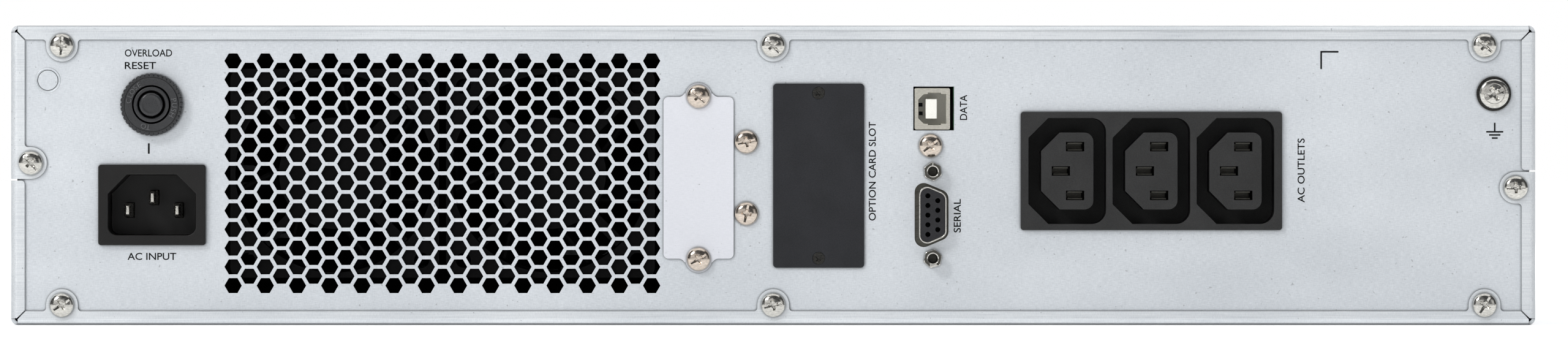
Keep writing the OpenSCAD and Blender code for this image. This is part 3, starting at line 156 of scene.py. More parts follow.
def zinc_coated_sheet(name, dark, light, rough, streak_mm=1.5, depth_mm=0.012):
    """Skin-passed zinc-coated steel: matt bluish white, fine streaks from the rolls, a few dark specks and
    painted shade in its corners.
    """
    material, tree, shader = start_material(name, Metallic=0.5)
    along = grain(tree, (streak_mm, 0.2, 0.2), detail=3.0)
    across = grain(tree, (0.24, 0.9, 0.9), detail=2.0, offset=(31.0, 7.0, 3.0))
    linen = add_node(tree, "ShaderNodeMix", {"Factor": 0.35}, A=along, B=across).outputs["Result"]
    cloud = grain(tree, (46.0, 30.0, 24.0), detail=3.0, offset=(5.0, 9.0, 2.0))
    tone = add_node(tree, "ShaderNodeMix", {"Factor": 0.3}, A=linen, B=cloud).outputs["Result"]
    sheet = two_tone(tree, tone, TONE_SPAN, dark, light)
    specks = grain(tree, (0.8, 0.8, 0.8), detail=0.0, offset=(11.0, 4.0, 17.0))
    speck = add_node(tree, "ShaderNodeMapRange", {"From Min": 0.82, "From Max": 0.9}, Value=specks)
    marked = add_node(tree, "ShaderNodeMixRGB", {"Color2": hex_color("#b3b7bb")},
                      Fac=speck.outputs["Result"], Color1=sheet).outputs["Color"]
    # Painted shade: the sheet turns dark grey in corners and beside raised parts
    corner_shaded = painted_corner_shade(tree, marked, "#55585b", 0.85)
    dress(tree, shader, corner_shaded, linen, (rough - 0.05, rough + 0.06), linen, depth_mm)
    return material


def nickel_plate(name, tint, rough):
    """Bright nickel on turned steel: warm, clear reflections with faint handling marks."""
    material, tree, shader = start_material(name, Metallic=1.0)
    marks = grain(tree, (0.9, 0.9, 0.25), detail=4.0)
    colour = two_tone(tree, marks, (NOISE_LOW, NOISE_HIGH), *tint)
    dress(tree, shader, colour, marks, (rough - 0.04, rough + 0.08), marks, 0.006)
    return material


def moulded_plastic(name, dark, light, rough, grit_mm=0.22, depth_mm=0.012, gloss=0.5):
    """Spark-eroded mould texture on a thermoplastic: fine even grit, soft broad highlights."""
    material, tree, shader = start_material(name, IOR=1.5, Specular_IOR_Level=gloss)
    grit = grain(tree, (grit_mm,) * 3, detail=1.0)
    flow = grain(tree, (9.0, 9.0, 9.0), detail=3.0, offset=(3.0, 1.0, 8.0))
    tone = add_node(tree, "ShaderNodeMix", {"Factor": 0.45}, A=grit, B=flow).outputs["Result"]
    colour = two_tone(tree, tone, TONE_SPAN, dark, light)
    dress(tree, shader, colour, tone, (rough - 0.05, rough + 0.05), grit, depth_mm)
    return material


def smoked_acrylic():
    """Clear cast acrylic over a dark print: nearly black, with a sharp reflection."""
    material, tree, shader = start_material("smoked_acrylic", IOR=1.49, Roughness=0.04)
    flow = grain(tree, (14.0, 14.0, 14.0), detail=2.0)
    colour = two_tone(tree, flow, (NOISE_LOW, NOISE_HIGH), "#030405", "#07090b")
    tree.links.new(colour, shader.inputs["Base Color"])
    return material


def solder_mask():
    """Green solder mask over copper: glossy, darker where the copper runs under it."""
    material, tree, shader = start_material("solder_mask", Roughness=0.28, IOR=1.52)
    tracks = grain(tree, (4.0, 1.2, 4.0), detail=0.0)
    colour = two_tone(tree, tracks, (0.47, 0.5), "#0e4a2a", "#176b3c")
    tree.links.new(colour, shader.inputs["Base Color"])
    return material


zinc_steel = zinc_coated_sheet("zinc_coated_steel", "#c2c7cc", "#e2e6ea", 0.4)
# The bent sheets are rolled lengthways, so their streaks are drawn out
shell_steel = zinc_coated_sheet("zinc_coated_shell", "#c5cacf", "#e9ecee", 0.38, 14.0, 0.03)
cover_steel = zinc_coated_sheet("electro_zinc_steel", "#dbdde3", "#e9eaf0", 0.36)
bright_nickel = nickel_plate("bright_nickel", ("#b4b2ac", "#dbd9d3"), 0.15)
warm_nickel = nickel_plate("warm_nickel", ("#b9aea1", "#dccfc3"), 0.16)
satin_nickel = nickel_plate("satin_nickel", ("#b3b1aa", "#d2d0c9"), 0.26)
usb_steel = nickel_plate("usb_shell_nickel", ("#b9b6ab", "#d2cfc4"), 0.34)
# A darker copy of the nickel: painted shade for nickel in recesses and behind the panel
painted_shade_nickel = nickel_plate("painted_shade_nickel", ("#4a4944", "#5f5e59"), 0.36)
blued_steel = nickel_plate("blued_washer_steel", ("#2b2b2b", "#454441"), 0.25)
tin_plate = nickel_plate("tin_plate", ("#b9bab8", "#d6d7d5"), 0.3)
aluminium_extrusion = nickel_plate("aluminium_extrusion", ("#a3a6aa", "#bcbfc4"), 0.38)
inlet_nylon = moulded_plastic("inlet_nylon", "#0d0c0c", "#161514", 0.42, 0.3, 0.02, 0.3)
outlet_nylon = moulded_plastic("outlet_nylon", "#222222", "#2f2f2f", 0.55, 0.3, 0.02, 0.3)
breaker_nylon = moulded_plastic("breaker_nylon", "#222325", "#303133", 0.3, 0.25, 0.012, 0.45)
# Lighter plastic on the raised letters: a painted highlight for the light their edges catch
letter_highlight_nylon = moulded_plastic("breaker_letter_nylon", "#4b4c4e", "#5d5e60", 0.25, 0.25, 0.012, 0.6)
cover_paint = moulded_plastic("slot_cover_powder_coat", "#1d1e21", "#28292d", 0.55, 0.35, 0.03, 0.25)
serial_pbt = moulded_plastic("serial_insulator_pbt", "#1d1d20", "#28282b", 0.45, 0.25, 0.01, 0.3)
bezel_abs = moulded_plastic("bezel_abs", "#202124", "#2f3034", 0.5, 0.8, 0.06, 0.4)
lcd_glass = moulded_plastic("lcd_glass", "#46504a", "#525d56", 0.12, 0.5, 0.0)
button_abs = moulded_plastic("button_abs", "#5c5f63", "#6b6e72", 0.4)
white_pbt = moulded_plastic("white_pbt", "#ecebe2", "#f7f5ee", 0.35)
light_pipe = moulded_plastic("light_pipe_acrylic", "#c2ccc4", "#d8e0da", 0.15, 0.8, 0.0)
# Fans nearly black: their own dark plastic, darkened further as painted shade for the inside of the case
fan_pbt_and_shade = moulded_plastic("fan_pbt_and_shade", "#030303", "#070708", 0.5, 0.3, 0.01, 0.06)
# Black on the fan bracket: partly a powder coat, partly painted shade for the dark inside of the case
bracket_paint_and_shade = moulded_plastic("bracket_powder_coat_and_shade", "#050506", "#09090a", 0.7, 0.4, 0.02, 0.08)
filter_foam = moulded_plastic("filter_foam_pur", "#0c0c0c", "#1c1c1c", 0.95, 0.9, 0.25, 0.05)
capacitor_sleeve = moulded_plastic("capacitor_sleeve_pvc", "#11173a", "#1b2350", 0.25)
copper_winding = nickel_plate("enamelled_copper", ("#8a4317", "#b9682c"), 0.3)
varnished_steel = moulded_plastic("varnished_laminations", "#2b2825", "#403b36", 0.35)
relay_case = moulded_plastic("relay_case_pbt", "#16294a", "#203a63", 0.25)
lead_pvc = moulded_plastic("lead_insulation_pvc", "#6d130f", "#8a1d17", 0.35)
battery_abs = moulded_plastic("battery_case_abs", "#1d1d20", "#2a2a2e", 0.45)
print_ink = moulded_plastic("screen_print_ink", "#08090b", "#101114", 0.6, 0.4, 0.0, 0.2)
acrylic_window = smoked_acrylic()
board_green = solder_mask()

# The nodes that no finer piece below stands for
NODE_MATERIALS = {
    zinc_steel: "card_cage clinch_nuts",
    bright_nickel: "frame_screws",
    tin_plate: "breaker_terminals board_standoffs",
    # The outlet contacts take the darker nickel: painted shade for the slots they sit in
    painted_shade_nickel: "outlet_contacts",
    aluminium_extrusion: "heatsinks",
    bracket_paint_and_shade: "fan_bracket",
    filter_foam: "air_filter",
    fan_pbt_and_shade: "fan_rotor_left fan_rotor_right",
    capacitor_sleeve: "bulk_capacitors",
    copper_winding: "inductors",
    varnished_steel: "transformer",
    relay_case: "relays",
    lead_pvc: "input_leads output_leads battery_leads",
    board_green: "display_board comm_board main_board",
}
for material, names in NODE_MATERIALS.items():
    for name in names.split():
        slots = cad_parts[name].data.materials
        slots.clear()
        slots.append(material)


# ---------- modelling ----------

# Local X to the right, Y up and Z out of the rear panel, and the same on the bezel
ON_PANEL = Matrix.Rotation(math.radians(90), 4, "X")
ON_FRONT = Matrix.Rotation(math.radians(180), 4, "Z") @ ON_PANEL


def mm(*lengths):
    """Lengths in millimetres as metres."""
    return tuple(length * MM for length in lengths)


def start_piece(name, primitive, scale=(1, 1, 1), **settings):
    """Adds a primitive at its size and place and opens it in edit mode."""
    bpy.ops.object.select_all(action="DESELECT")
    primitive(**settings)
    piece = bpy.context.object
    piece.name = name
    piece.scale = scale
    bpy.ops.object.transform_apply(location=True, rotation=True, scale=True)
    bpy.ops.object.mode_set(mode="EDIT")
    bpy.ops.mesh.select_mode(type="FACE")
    return piece


def pick(test):
    """In edit mode, selects just the faces whose centre and normal pass the test."""
    bpy.ops.mesh.select_all(action="DESELECT")
    mesh = bmesh.from_edit_mesh(bpy.context.object.data)
    for face in mesh.faces:
        if test(face.calc_center_median(), face.normal):
            face.select_set(True)
    bmesh.update_edit_mesh(bpy.context.object.data)


def pick_points(test):
    """In edit mode, selects just the vertices whose place passes the test."""
    bpy.ops.mesh.select_mode(type="VERT")
    bpy.ops.mesh.select_all(action="DESELECT")
    mesh = bmesh.from_edit_mesh(bpy.context.object.data)
    for point in mesh.verts:
        if test(point.co):
            point.select_set(True)
    bmesh.update_edit_mesh(bpy.context.object.data)


def top(centre, normal):
    return normal.z > 0.99


def bottom(centre, normal):
    return normal.z < -0.99


def step(inset, rise):
    """Insets the picked faces by so many millimetres and raises them."""
    bpy.ops.mesh.inset(thickness=inset * MM)
    bpy.ops.transform.translate(value=(0, 0, rise * MM))


def leave_edit():
    bpy.ops.object.mode_set(mode="OBJECT")
    return bpy.context.object


def modify(piece, kind, **settings):
    """Adds a modifier with its settings and applies it."""
    bpy.context.view_layer.objects.active = piece
    modifier = piece.modifiers.new(kind.lower(), kind)
    for name, value in settings.items():
        setattr(modifier, name, value)
    bpy.ops.object.modifier_apply(modifier=modifier.name)


def combine(piece, tool, operation="DIFFERENCE"):
    """Cuts the tool out of the piece, or adds it, and removes the tool."""
    modify(piece, "BOOLEAN", operation=operation, object=tool, solver="EXACT")
    bpy.data.meshes.remove(tool.data)


def round_edges(piece, width, segments=2, angle=32):
    """Rounds the edges sharper than angle by so many millimetres and keeps the flats flat."""
    modify(piece, "BEVEL", width=width * MM, segments=segments, limit_method="ANGLE",
           angle_limit=math.radians(angle))
    shade(piece)


def shade(piece, angle=40):
    bpy.ops.object.select_all(action="DESELECT")
    piece.select_set(True)
    bpy.context.view_layer.objects.active = piece
    bpy.ops.object.shade_smooth_by_angle(angle=math.radians(angle))
    modify(piece, "WEIGHTED_NORMAL", keep_sharp=True)


def merged_copy(node, name):
    """A copy of a CAD node with its triangles merged into faces."""
    piece = bpy.data.objects.new(name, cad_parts[node].data.copy())
    bpy.context.scene.collection.objects.link(piece)
    bpy.ops.object.select_all(action="DESELECT")
    piece.select_set(True)
    bpy.context.view_layer.objects.active = piece
    bpy.ops.object.mode_set(mode="EDIT")
    bpy.ops.mesh.select_all(action="SELECT")
    bpy.ops.mesh.remove_doubles(threshold=0.002 * MM)
    bpy.ops.mesh.dissolve_limited(angle_limit=math.radians(0.5))
    return leave_edit()


def place(piece, turned=ON_PANEL, x=0.0, y=PANEL_Y, z=0.0, turn=0.0):
    """Moves a piece modelled round the origin to its place on the panel or the bezel."""
    spot = Matrix.Translation((x * MM, y, z * MM)) @ turned @ Matrix.Rotation(math.radians(turn), 4, "Z")
    piece.data.transform(spot)
    return piece


def copy_of(piece, name):
    twin = bpy.data.objects.new(name, piece.data.copy())
    bpy.context.scene.collection.objects.link(twin)
    return twin


def drop_pattern(piece):
    bpy.data.meshes.remove(piece.data)


def join(pieces, name):
    """Joins pieces into the first of them."""
    bpy.ops.object.select_all(action="DESELECT")
    for piece in pieces:
        piece.select_set(True)
    bpy.context.view_layer.objects.active = pieces[0]
    bpy.ops.object.join()
    pieces[0].name = name
    return pieces[0]


def fit(piece, material, nodes="", body="chassis"):
    """Gives a finished piece its material, the body it moves with and the nodes it stands for."""
    piece.data.materials.clear()
    piece.data.materials.append(material)
    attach(piece, body)
    if nodes:
        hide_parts(*nodes.split())
    return piece


# ---------- edges of the pressed and moulded parts ----------

# Node, piece, edge radius in millimetres, material, slot, body
ROUNDED = [
    ("upper_shell", "upper_cover", 0.3, shell_steel, "galvanised_steel", "chassis"),
    ("lower_shell", "lower_cover", 0.3, shell_steel, "galvanised_steel", "chassis"),
    ("seam_strips", "seam_strip_pair", 0.12, shell_steel, "galvanised_steel", "chassis"),
    ("rear_panel", "vented_panel", 0.1, zinc_steel, "galvanised_steel", "chassis"),
    ("front_frame", "mouth_frame", 0.15, zinc_steel, "galvanised_steel", "chassis"),
    ("clinch_stud", "clinch_stud_head", 0.12, zinc_steel, "galvanised_steel", "chassis"),
    ("connector_cover", "port_blank", 0.16, cover_steel, "galvanised_steel", "chassis"),
    ("slot_cover", "card_slot_blank", 0.2, cover_paint, "black_paint", "chassis"),
    ("slot_cover_screws", "card_slot_screws", 0.08, blued_steel, "black_paint", "chassis"),
    ("inlet_housing", "inlet_moulding", 0.3, inlet_nylon, "black_plastic", "chassis"),
    ("inlet_pins", "inlet_blades", 0.18, satin_nickel, "nickel_plate", "chassis"),
    ("outlet_block", "outlet_moulding", 0.28, outlet_nylon, "black_plastic", "chassis"),
    ("breaker_body", "breaker_case", 0.32, breaker_nylon, "dark_plastic", "chassis"),
    ("usb_shell", "usb_socket_shell", 0.22, usb_steel, "nickel_plate", "chassis"),
    ("usb_core", "usb_socket_core", 0.1, white_pbt, "white_plastic", "chassis"),
    ("serial_shell", "serial_socket_shell", 0.19, bright_nickel, "nickel_plate", "chassis"),
    ("serial_core", "serial_socket_core", 0.1, serial_pbt, "dark_plastic", "chassis"),
    ("jackscrews", "jackscrew_pair", 0.14, bright_nickel, "nickel_plate", "chassis"),
    ("front_bezel", "bezel_moulding", 0.5, bezel_abs, "black_plastic", "chassis"),
    ("drawer_fascia", "drawer_moulding", 0.5, bezel_abs, "black_plastic", "battery_drawer"),
    ("display_window", "display_lens", 0.4, acrylic_window, "window", "chassis"),
    ("power_button", "power_key", 0.6, button_abs, "grey_plastic", "power_button"),
    ("mute_button", "mute_key", 0.6, button_abs, "grey_plastic", "mute_button"),
    ("select_button", "select_key", 0.6, button_abs, "grey_plastic", "select_button"),
    ("enter_button", "enter_key", 0.6, button_abs, "grey_plastic", "enter_button"),
    ("status_lights", "status_light_pipes", 0.3, light_pipe, "light_pipe", "chassis"),
    ("thumbscrew_left", "knurled_screw_left", 0.15, satin_nickel, "nickel_plate", "thumbscrew_left"),
    ("thumbscrew_right", "knurled_screw_right", 0.15, satin_nickel, "nickel_plate", "thumbscrew_right"),
    ("tray_guides", "tray_guide_rails", 0.3, white_pbt, "white_plastic", "chassis"),
    ("fan_frame_left", "fan_venturi_left", 0.4, fan_pbt_and_shade, "black_plastic", "chassis"),
    ("fan_frame_right", "fan_venturi_right", 0.4, fan_pbt_and_shade, "black_plastic", "chassis"),
    ("bay_wall", "bay_wall_sheet", 0.15, zinc_steel, "galvanised_steel", "chassis"),
    ("battery_tray", "battery_tray_sheet", 0.2, zinc_steel, "galvanised_steel", "battery_drawer"),
    ("batteries", "battery_blocks", 0.8, battery_abs, "battery_case", "battery_drawer"),
]
for node, name, radius, material, slot, body in ROUNDED:
    piece = merged_copy(node, name)
    round_edges(piece, radius)
    fit(piece, material, node, body)


def paint_shade_inside(name, material, test):
    """Gives the faces of a socket that pass the test a second, darker material as painted shade."""
    mesh = bpy.data.objects[name].data
    mesh.materials.append(material)
    for face in mesh.polygons:
        if test(face.center):
            face.material_index = 1


# In millimetres: middle of the serial socket, heights of its two jackscrews and reach of their bores
SERIAL_X, JACK_ZS, JACK_REACH = 45.8, (44.1, 19.1), 1.36


def in_jack_bore(centre):
    return any(math.hypot(centre.x - SERIAL_X * MM, centre.z - z * MM) < JACK_REACH * MM for z in JACK_ZS)


def in_contact_slot(centre):
    """In one of the two slots left of the tongue's middle, one above it and one below."""
    low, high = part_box("usb_core")
    middle = (low + high) / 2
    across, up = (centre.x - middle.x) / MM, abs(centre.z - middle.z) / MM
    return -3.8 < across < -2.6 and 0.7 < up < 1.8 and centre.y > PANEL_Y + 0.2 * MM


# Painted shade: the serial shell's flange behind the panel and the jackscrew bores take the darker nickel,
# and the USB tongue's contact slots the dark insulator plastic
paint_shade_inside("serial_socket_shell", painted_shade_nickel, lambda centre: centre.y > PANEL_Y + 0.1 * MM)
paint_shade_inside("jackscrew_pair", painted_shade_nickel, in_jack_bore)
paint_shade_inside("usb_socket_core", serial_pbt, in_contact_slot)


def stud_bead():
    """Low bead of metal pressed up round the clinched stud: a ring, flattened and spread."""
    low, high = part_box("clinch_stud")
    start_piece("clinch_stud_bead", bpy.ops.mesh.primitive_torus_add, major_radius=3.42 * MM,
                minor_radius=0.24 * MM, major_segments=72, minor_segments=12)
    bpy.ops.mesh.select_all(action="SELECT")
    bpy.ops.transform.resize(value=(1, 1, 0.55), center_override=(0, 0, 0))
    bead = leave_edit()
    shade(bead, 60)
    place(bead, x=(low.x + high.x) / 2 / MM, z=(low.z + high.z) / 2 / MM)
    fit(bead, zinc_steel)


stud_bead()


# ---------- screws ----------

def rod(name, radius, low, high, sides=64):
    """A cylinder along Z from low to high, all in millimetres, open in edit mode."""
    return start_piece(name, bpy.ops.mesh.primitive_cylinder_add, vertices=sides, radius=radius * MM,
                       depth=(high - low) * MM, location=mm(0, 0, (low + high) / 2))


def bar(name, length, width, low, high, turn=0.0):
    """A block of that length and width from low to high, all in millimetres, open in edit mode."""
    return start_piece(name, bpy.ops.mesh.primitive_cube_add, size=1, scale=mm(length, width, high - low),
                       location=mm(0, 0, (low + high) / 2), rotation=(0, 0, math.radians(turn)))


def cut_bar(piece, length, width, low, high, turn=0.0, taper=1.0):
    """Cuts a groove whose floor is taper times its mouth."""
    tool = bar("recess_tool", length, width, low, high, turn)
    pick(bottom)
    bpy.ops.transform.resize(value=(taper, taper, 1), center_override=mm(0, 0, low))
    leave_edit()
    combine(piece, tool)


SHANK_R = 1.6
HEAD_R = 3.45


def pan_screw(name, radius, height, dome, shank, recess):
    """Cold-headed pan screw with its seat at Z = 0: domed head, combination recess, chamfered shank."""
    rings, fullness = 8, 0.82               # steps of the dome and how full its curve is
    tip, tip_taper = 0.4, 0.75
    rod(name, radius, 0, height - dome)
    pick(top)
    edge, crown = radius, 0.0
    for ring in range(1, rings):
        angle = math.pi / 2 * ring / rings
        new_edge = radius * math.cos(angle) ** fullness
        new_crown = dome * math.sin(angle) ** fullness
        step(edge - new_edge, new_crown - crown)
        edge, crown = new_edge, new_crown
    pick(bottom)
    step(radius - SHANK_R, 0)
    bpy.ops.mesh.extrude_region_move(TRANSFORM_OT_translate={"value": mm(0, 0, tip - shank)})
    bpy.ops.mesh.extrude_region_move(TRANSFORM_OT_translate={"value": mm(0, 0, -tip)})
    bpy.ops.transform.resize(value=(tip_taper, tip_taper, 1), center_override=mm(0, 0, -shank))
    piece = leave_edit()
    slot, slot_w, slot_depth, wing, wing_w, wing_depth = recess
    cut_bar(piece, slot, slot_w, height - slot_depth, height + 1, taper=0.92)
    for turn in (0, 90):
        cut_bar(piece, wing, wing_w, height - wing_depth, height + 1, turn, taper=0.6)
    round_edges(piece, 0.07, angle=40)
    return piece


# X, Z, turn in degrees and how far the seat stands out of the panel, in millimetres
SHELL_SCREWS = [(-204.3, 80.2, 85), (0, 80.2, -50), (204.3, 80.2, -42), (-204.3, 5.8, 32),
                (0, 5.8, 15), (204.3, 5.8, 58), (-213.2, 46.55, -48), (213.2, 39.45, 2)]
PANEL_SCREWS = [(-21.45, 65.65, -44, 1.0), (-21.45, 18.95, 30, 1.0), (-7.7, 32.0, 78, 0.0),
                (-7.7, 52.6, 12, 0.0), (45.2, 51.5, 38, 0.0)]

pattern = pan_screw("screw_pattern", HEAD_R, 2.4, 1.35, 8.0, (5.7, 0.75, 0.95, 3.7, 0.95, 1.9))
for i, (x, z, turn) in enumerate(SHELL_SCREWS):
    screw = place(copy_of(pattern, f"shell_screw_{i + 1}"), x=x, y=LIP_Y, z=z, turn=turn)
    fit(screw, bright_nickel, "shell_screws")
drop_pattern(pattern)

pattern = pan_screw("screw_pattern", HEAD_R - 0.05, 2.4, 1.5, 7.0, (5.4, 0.7, 0.9, 3.5, 0.9, 1.9))
for i, (x, z, turn, proud) in enumerate(PANEL_SCREWS):
    screw = place(copy_of(pattern, f"panel_screw_{i + 1}"), x=x, y=PANEL_Y - proud * MM, z=z, turn=turn)
    fit(screw, warm_nickel, "panel_screws")
drop_pattern(pattern)


EARTH_X, EARTH_Z = 207.0, 66.4


def earth_terminal():
    """Pan screw with a turned ring round its recess, on a thick plain washer."""
    washer_t = 0.8
    washer = rod("earth_washer", 4.95, 0, washer_t)
    leave_edit()
    hole = rod("recess_tool", 2.1, -1, 2)
    leave_edit()
    combine(washer, hole)
    round_edges(washer, 0.18, segments=3)
    place(washer, x=EARTH_X, z=EARTH_Z)
    fit(washer, blued_steel, "earth_screw")
    screw = pan_screw("earth_terminal_screw", 4.2, 2.8, 0.75, 9.0, (6.4, 1.15, 0.8, 4.6, 1.25, 1.7))
    ring = rod("recess_tool", 3.0, 2.45, 4)
    leave_edit()
    core = rod("ring_core", 2.75, 2, 5)
    leave_edit()
    combine(ring, core)
    combine(screw, ring)
    place(screw, x=EARTH_X, y=PANEL_Y - washer_t * MM, z=EARTH_Z, turn=28)
    fit(screw, bright_nickel, "earth_screw")


earth_terminal()


# ---------- thermal breaker ----------

BREAKER_X, BREAKER_Z = -178.4, 63.3


def lettering(words, cap_height, run=None, rise=0.03, bolder=0.0):
    """Words as a thin solid with its lower left corner at the origin, fitted to a height and a run in mm."""
    bpy.ops.object.select_all(action="DESELECT")
    bpy.ops.object.text_add(location=(0, 0, 0))
    text = bpy.context.object
    text.data.body = words
    text.data.offset = bolder
    text.data.resolution_u = 4
    text.data.extrude = 0.5
    bpy.ops.object.convert(target="MESH")
    piece = bpy.context.object
    xs, ys = ([point.co[axis] for point in piece.data.vertices] for axis in (0, 1))
    tall = cap_height * MM / (max(ys) - min(ys))
    wide = run * MM / (max(xs) - min(xs)) if run else tall
    piece.data.transform(Matrix.Diagonal((wide, tall, rise * MM, 1))
                         @ Matrix.Translation((-min(xs), -min(ys), 0.5)))
    return piece


def curved_letters(words, middle, radius, cap_height, base, rise):
    """Raised capitals that run clockwise round the origin with their tops outward; middle in degrees."""
    pitch = math.degrees(cap_height * 0.98 / radius)
    pieces = []
    for i, letter in enumerate(words):
        angle = middle - (i - (len(words) - 1) / 2) * pitch
        piece = lettering(letter, cap_height, rise=rise)
        centre_x = sum(point.co.x for point in piece.data.vertices) / len(piece.data.vertices)
        piece.data.transform(Matrix.Rotation(math.radians(angle - 90), 4, "Z")
                             @ Matrix.Translation((-centre_x, (radius - cap_height / 2) * MM, base * MM)))
        pieces.append(piece)
    return pieces


def ring_nut():
    """Moulded nut with rounded lobes, a raised band inside a fine groove, and a tapered mouth."""
    lobes, points, lobe_depth = 40, 8, 0.055
    outer, shelf, crown = 9.0, 4.1, 4.6
    rod("breaker_ring_nut", outer, 0, shelf - 0.35, sides=lobes * points)
    for phase in range(1, points // 2 + 1):
        reach = 1 - lobe_depth * (1 - math.sqrt(1 - (phase / (points / 2)) ** 2))
        pick_points(lambda co: round(math.atan2(co.y, co.x) / math.tau * lobes * points) % points
                    in (phase, points - phase))
        bpy.ops.transform.resize(value=(reach, reach, 1), center_override=(0, 0, 0))
    bpy.ops.mesh.select_mode(type="FACE")
    pick(top)
    step(0.1, 0.22)
    step(0.16, 0.13)
    nut = leave_edit()
    band = rod("ring_band", 7.7, 1, crown - 0.15, sides=96)
    pick(top)
    step(0.15, 0.15)
    leave_edit()
    combine(nut, band, "UNION")
    groove = rod("ring_groove", 7.9, 3.7, 6, sides=96)
    leave_edit()
    inner = rod("ring_core", 7.68, 3, 7, sides=96)
    leave_edit()
    combine(groove, inner)
    combine(nut, groove)
    mouth = rod("ring_mouth", 5.65, -1, crown + 1, sides=96)
    pick(bottom)
    bpy.ops.transform.resize(value=(0.92, 0.92, 1), center_override=mm(0, 0, -1))
    leave_edit()
    combine(nut, mouth)
    shade(nut, 30)
    words = []
    for word, middle in (("PUSH", -8), ("TO", -104), ("CLOSE", 146)):
        words += curved_letters(word, middle, 6.6, 1.45, crown - 0.03, 0.3)
    place(nut, x=BREAKER_X, z=BREAKER_Z)
    fit(nut, breaker_nylon, "breaker_collar")
    letters = place(join(words, "breaker_letters"), x=BREAKER_X, z=BREAKER_Z)
    # Painted highlight: the letters are lighter than the nut
    fit(letters, letter_highlight_nylon)


def reset_button():
    """Push rod with a rounded rim round a slightly hollow face."""
    rod("breaker_push_button", 3.35, -8, 6.4)
    pick(top)
    for inset, rise in ((0.05, 0.22), (0.12, 0.18), (0.18, 0.12), (0.25, 0.08), (0.3, -0.06), (0.6, -0.08)):
        step(inset, rise)
    button = leave_edit()
    shade(button, 50)
    place(button, x=BREAKER_X, z=BREAKER_Z)
    fit(button, breaker_nylon, "breaker_button", "breaker_button")


ring_nut()
reset_button()


# ---------- liquid crystal behind the bezel's window ----------

def crystal_display():
    """The viewing area of the display: a thin glass with clipped corners laminated to the window."""
    low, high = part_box("display_window")
    middle = (low + high) / 2
    glass = bar("crystal_view", 54, 21, 0, 0.12)
    bpy.ops.mesh.select_mode(type="EDGE")
    bpy.ops.mesh.select_all(action="SELECT")
    bpy.ops.mesh.bevel(offset=0.05 * MM, segments=1)
    leave_edit()
    place(glass, ON_FRONT, x=middle.x / MM, y=high.y - 0.06 * MM, z=middle.z / MM + 0.5)
    fit(glass, lcd_glass)


crystal_display()


# ---------- screen print on the rear panel ----------

# Words, left end and baseline as seen by the reader, capital height, run and turn
LEGENDS = [
    ("OVERLOAD", -186.3, 77.1, 2.06, 13.6, 0),
    ("RESET", -186.3, 73.5, 2.06, 9.0, 0),
    ("AC INPUT", -185.5, 18.7, 2.06, 14.0, 0),
    ("OPTION CARD SLOT", 29.5, 30.0, 2.06, 28.4, 90),
    ("DATA", 55.7, 58.9, 2.06, 7.2, 90),
    ("SERIAL", 53.9, 26.6, 2.06, 9.6, 90),
    ("AC OUTLETS", 152.7, 35.2, 2.06, 18.4, 90),
]
# Middle and size of the marks: a tick, a corner and the three bars and stem of the earth sign
MARKS = [(-179.4, 50.7, 0.5, 3.0), (159.8, 78.47, 5.2, 0.46), (157.43, 76.1, 0.46, 5.2),
         (207.3, 53.7, 1.7, 0.42), (207.3, 54.6, 3.25, 0.42), (207.3, 55.5, 4.9, 0.42),
         (207.3, 56.9, 0.42, 2.4)]


def screen_print():
    """All the printing as one film of ink."""
    film = 0.03
    pieces = []
    for words, x, z, cap_height, run, turn in LEGENDS:
        pieces.append(place(lettering(words, cap_height, run, film, bolder=0.008), x=x, z=z, turn=turn))
    for x, z, width, height in MARKS:
        mark = bar("print_mark", width, height, 0, film)
        bpy.ops.mesh.select_all(action="SELECT")
        bpy.ops.mesh.bevel(offset=0.05 * MM, segments=1)
        leave_edit()
        pieces.append(place(mark, x=x, z=z))
    fit(join(pieces, "panel_print"), print_ink)


screen_print()


# ---------- camera, floor and light ----------

def aim(obj, target):
    """Turns a lamp or camera so that it looks at target."""
    obj.rotation_euler = (Vector(target) - obj.location).to_track_quat("-Z", "Y").to_euler()


def add_camera():
    """Long lens square to the connector panel."""
    lens_mm, sensor_mm, field = 240.0, 36.0, 450.5 * MM
    camera = bpy.data.objects.new("camera", bpy.data.cameras.new("camera"))
    bpy.context.scene.collection.objects.link(camera)
    camera.data.lens = lens_mm
    camera.data.sensor_width = sensor_mm
    camera.data.clip_end = 100.0
    camera.location = (3.1 * MM, PANEL_Y - field * lens_mm / sensor_mm, MID_Z + 0.1 * MM)
    camera.rotation_euler = (math.radians(90), 0, 0)
    bpy.context.scene.camera = camera


def add_softbox(name, location, target, size, power):
    """Rectangular lamp that the camera doesn't see."""
    lamp = bpy.data.objects.new(name, bpy.data.lights.new(name, "AREA"))
    bpy.context.scene.collection.objects.link(lamp)
    lamp.data.shape = "RECTANGLE"
    lamp.data.size, lamp.data.size_y = size
    lamp.data.energy = power
    lamp.location = location
    aim(lamp, target)
    lamp.visible_camera = False


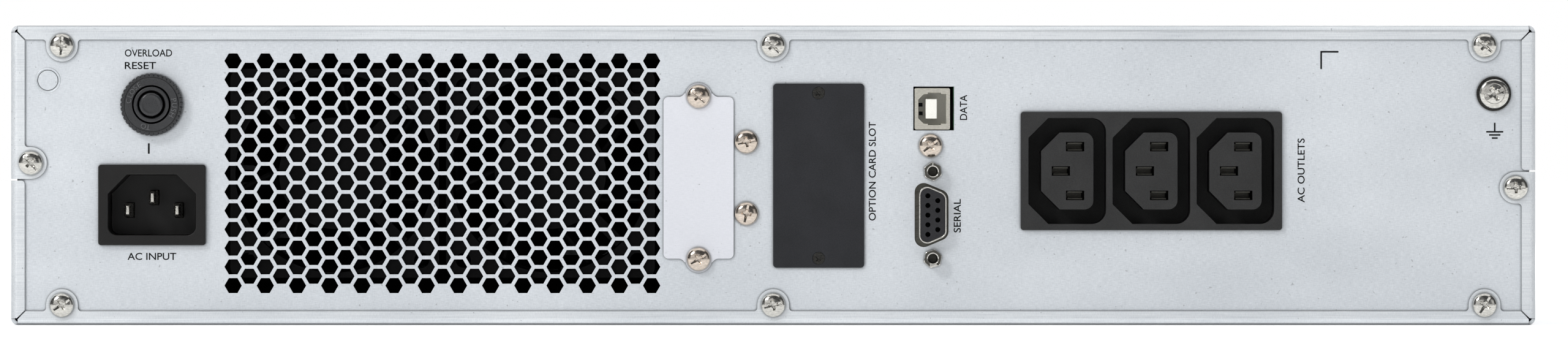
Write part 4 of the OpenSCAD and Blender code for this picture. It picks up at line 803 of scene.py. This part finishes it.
def add_floor():
    bpy.ops.mesh.primitive_circle_add(vertices=96, radius=60.0, fill_type="NGON", location=(0, 0, 0))
    floor = bpy.context.object
    floor.name = "floor"
    material, tree, shader = start_material("floor_paint", Roughness=0.8, Emission_Color=hex_color("#ffffff"))
    middle = add_node(tree, "ShaderNodeTexCoord")
    away = add_node(tree, "ShaderNodeVectorMath", {"operation": "LENGTH"}, Vector=middle.outputs["Object"])
    # Painted light: the floor glows, dim beside the case, so that its shadow shows, and bright towards the
    # horizon
    glow = add_node(tree, "ShaderNodeMapRange",
                    {"From Min": 0.6, "From Max": 3.0, "To Min": 0.3, "To Max": 0.8},
                    Value=away.outputs["Value"])
    tree.links.new(glow.outputs["Result"], shader.inputs["Emission Strength"])
    tone = grain(tree, (400.0, 400.0, 400.0), detail=2.0)
    colour = two_tone(tree, tone, (NOISE_LOW, NOISE_HIGH), "#f8f8f8", "#fcfcfc")
    tree.links.new(colour, shader.inputs["Base Color"])
    floor.data.materials.append(material)


def add_sky():
    """Even grey room light; the camera itself sees a white background."""
    world = bpy.data.worlds.new("studio")
    bpy.context.scene.world = world
    world.use_nodes = True
    tree = world.node_tree
    tree.nodes.clear()
    room = add_node(tree, "ShaderNodeBackground", {"Color": hex_color("#e4e6e9"), "Strength": 0.4})
    reflected = add_node(tree, "ShaderNodeBackground", {"Color": hex_color("#d6d8db"), "Strength": 0.12})
    white = add_node(tree, "ShaderNodeBackground", {"Color": hex_color("#ffffff"), "Strength": 1.0})
    path = add_node(tree, "ShaderNodeLightPath")
    indirect = add_node(tree, "ShaderNodeMixShader", None, Fac=path.outputs["Is Glossy Ray"],
                        _1=room.outputs[0], _2=reflected.outputs[0])
    mixed = add_node(tree, "ShaderNodeMixShader", None, Fac=path.outputs["Is Camera Ray"],
                     _1=indirect.outputs[0], _2=white.outputs[0])
    add_node(tree, "ShaderNodeOutputWorld", None, Surface=mixed.outputs[0])


# Name, place, what it points at, width and height in metres, and watts
PANEL_MIDDLE = (0, PANEL_Y, MID_Z)
LAMPS = [
    ("key_bank", (-1.5, -2.3, 1.5), PANEL_MIDDLE, (0.8, 0.6), 30),
    ("camera_bank", (-1.3, -4.0, 0.75), PANEL_MIDDLE, (3.2, 1.1), 7.6),
    ("fill_bank", (1.9, -2.2, 0.6), PANEL_MIDDLE, (1.2, 1.0), 2),
    ("top_bank", (0, -0.4, 2.2), (0, -0.4, 0), (3.2, 3.2), 34),
    ("front_bank", (1.1, 2.6, 1.3), (0, FACE_Y, MID_Z), (1.8, 1.4), 24),
]

add_camera()
add_floor()
add_sky()
for lamp in LAMPS:
    add_softbox(*lamp)
bpy.context.scene.view_settings.view_transform = "Standard"
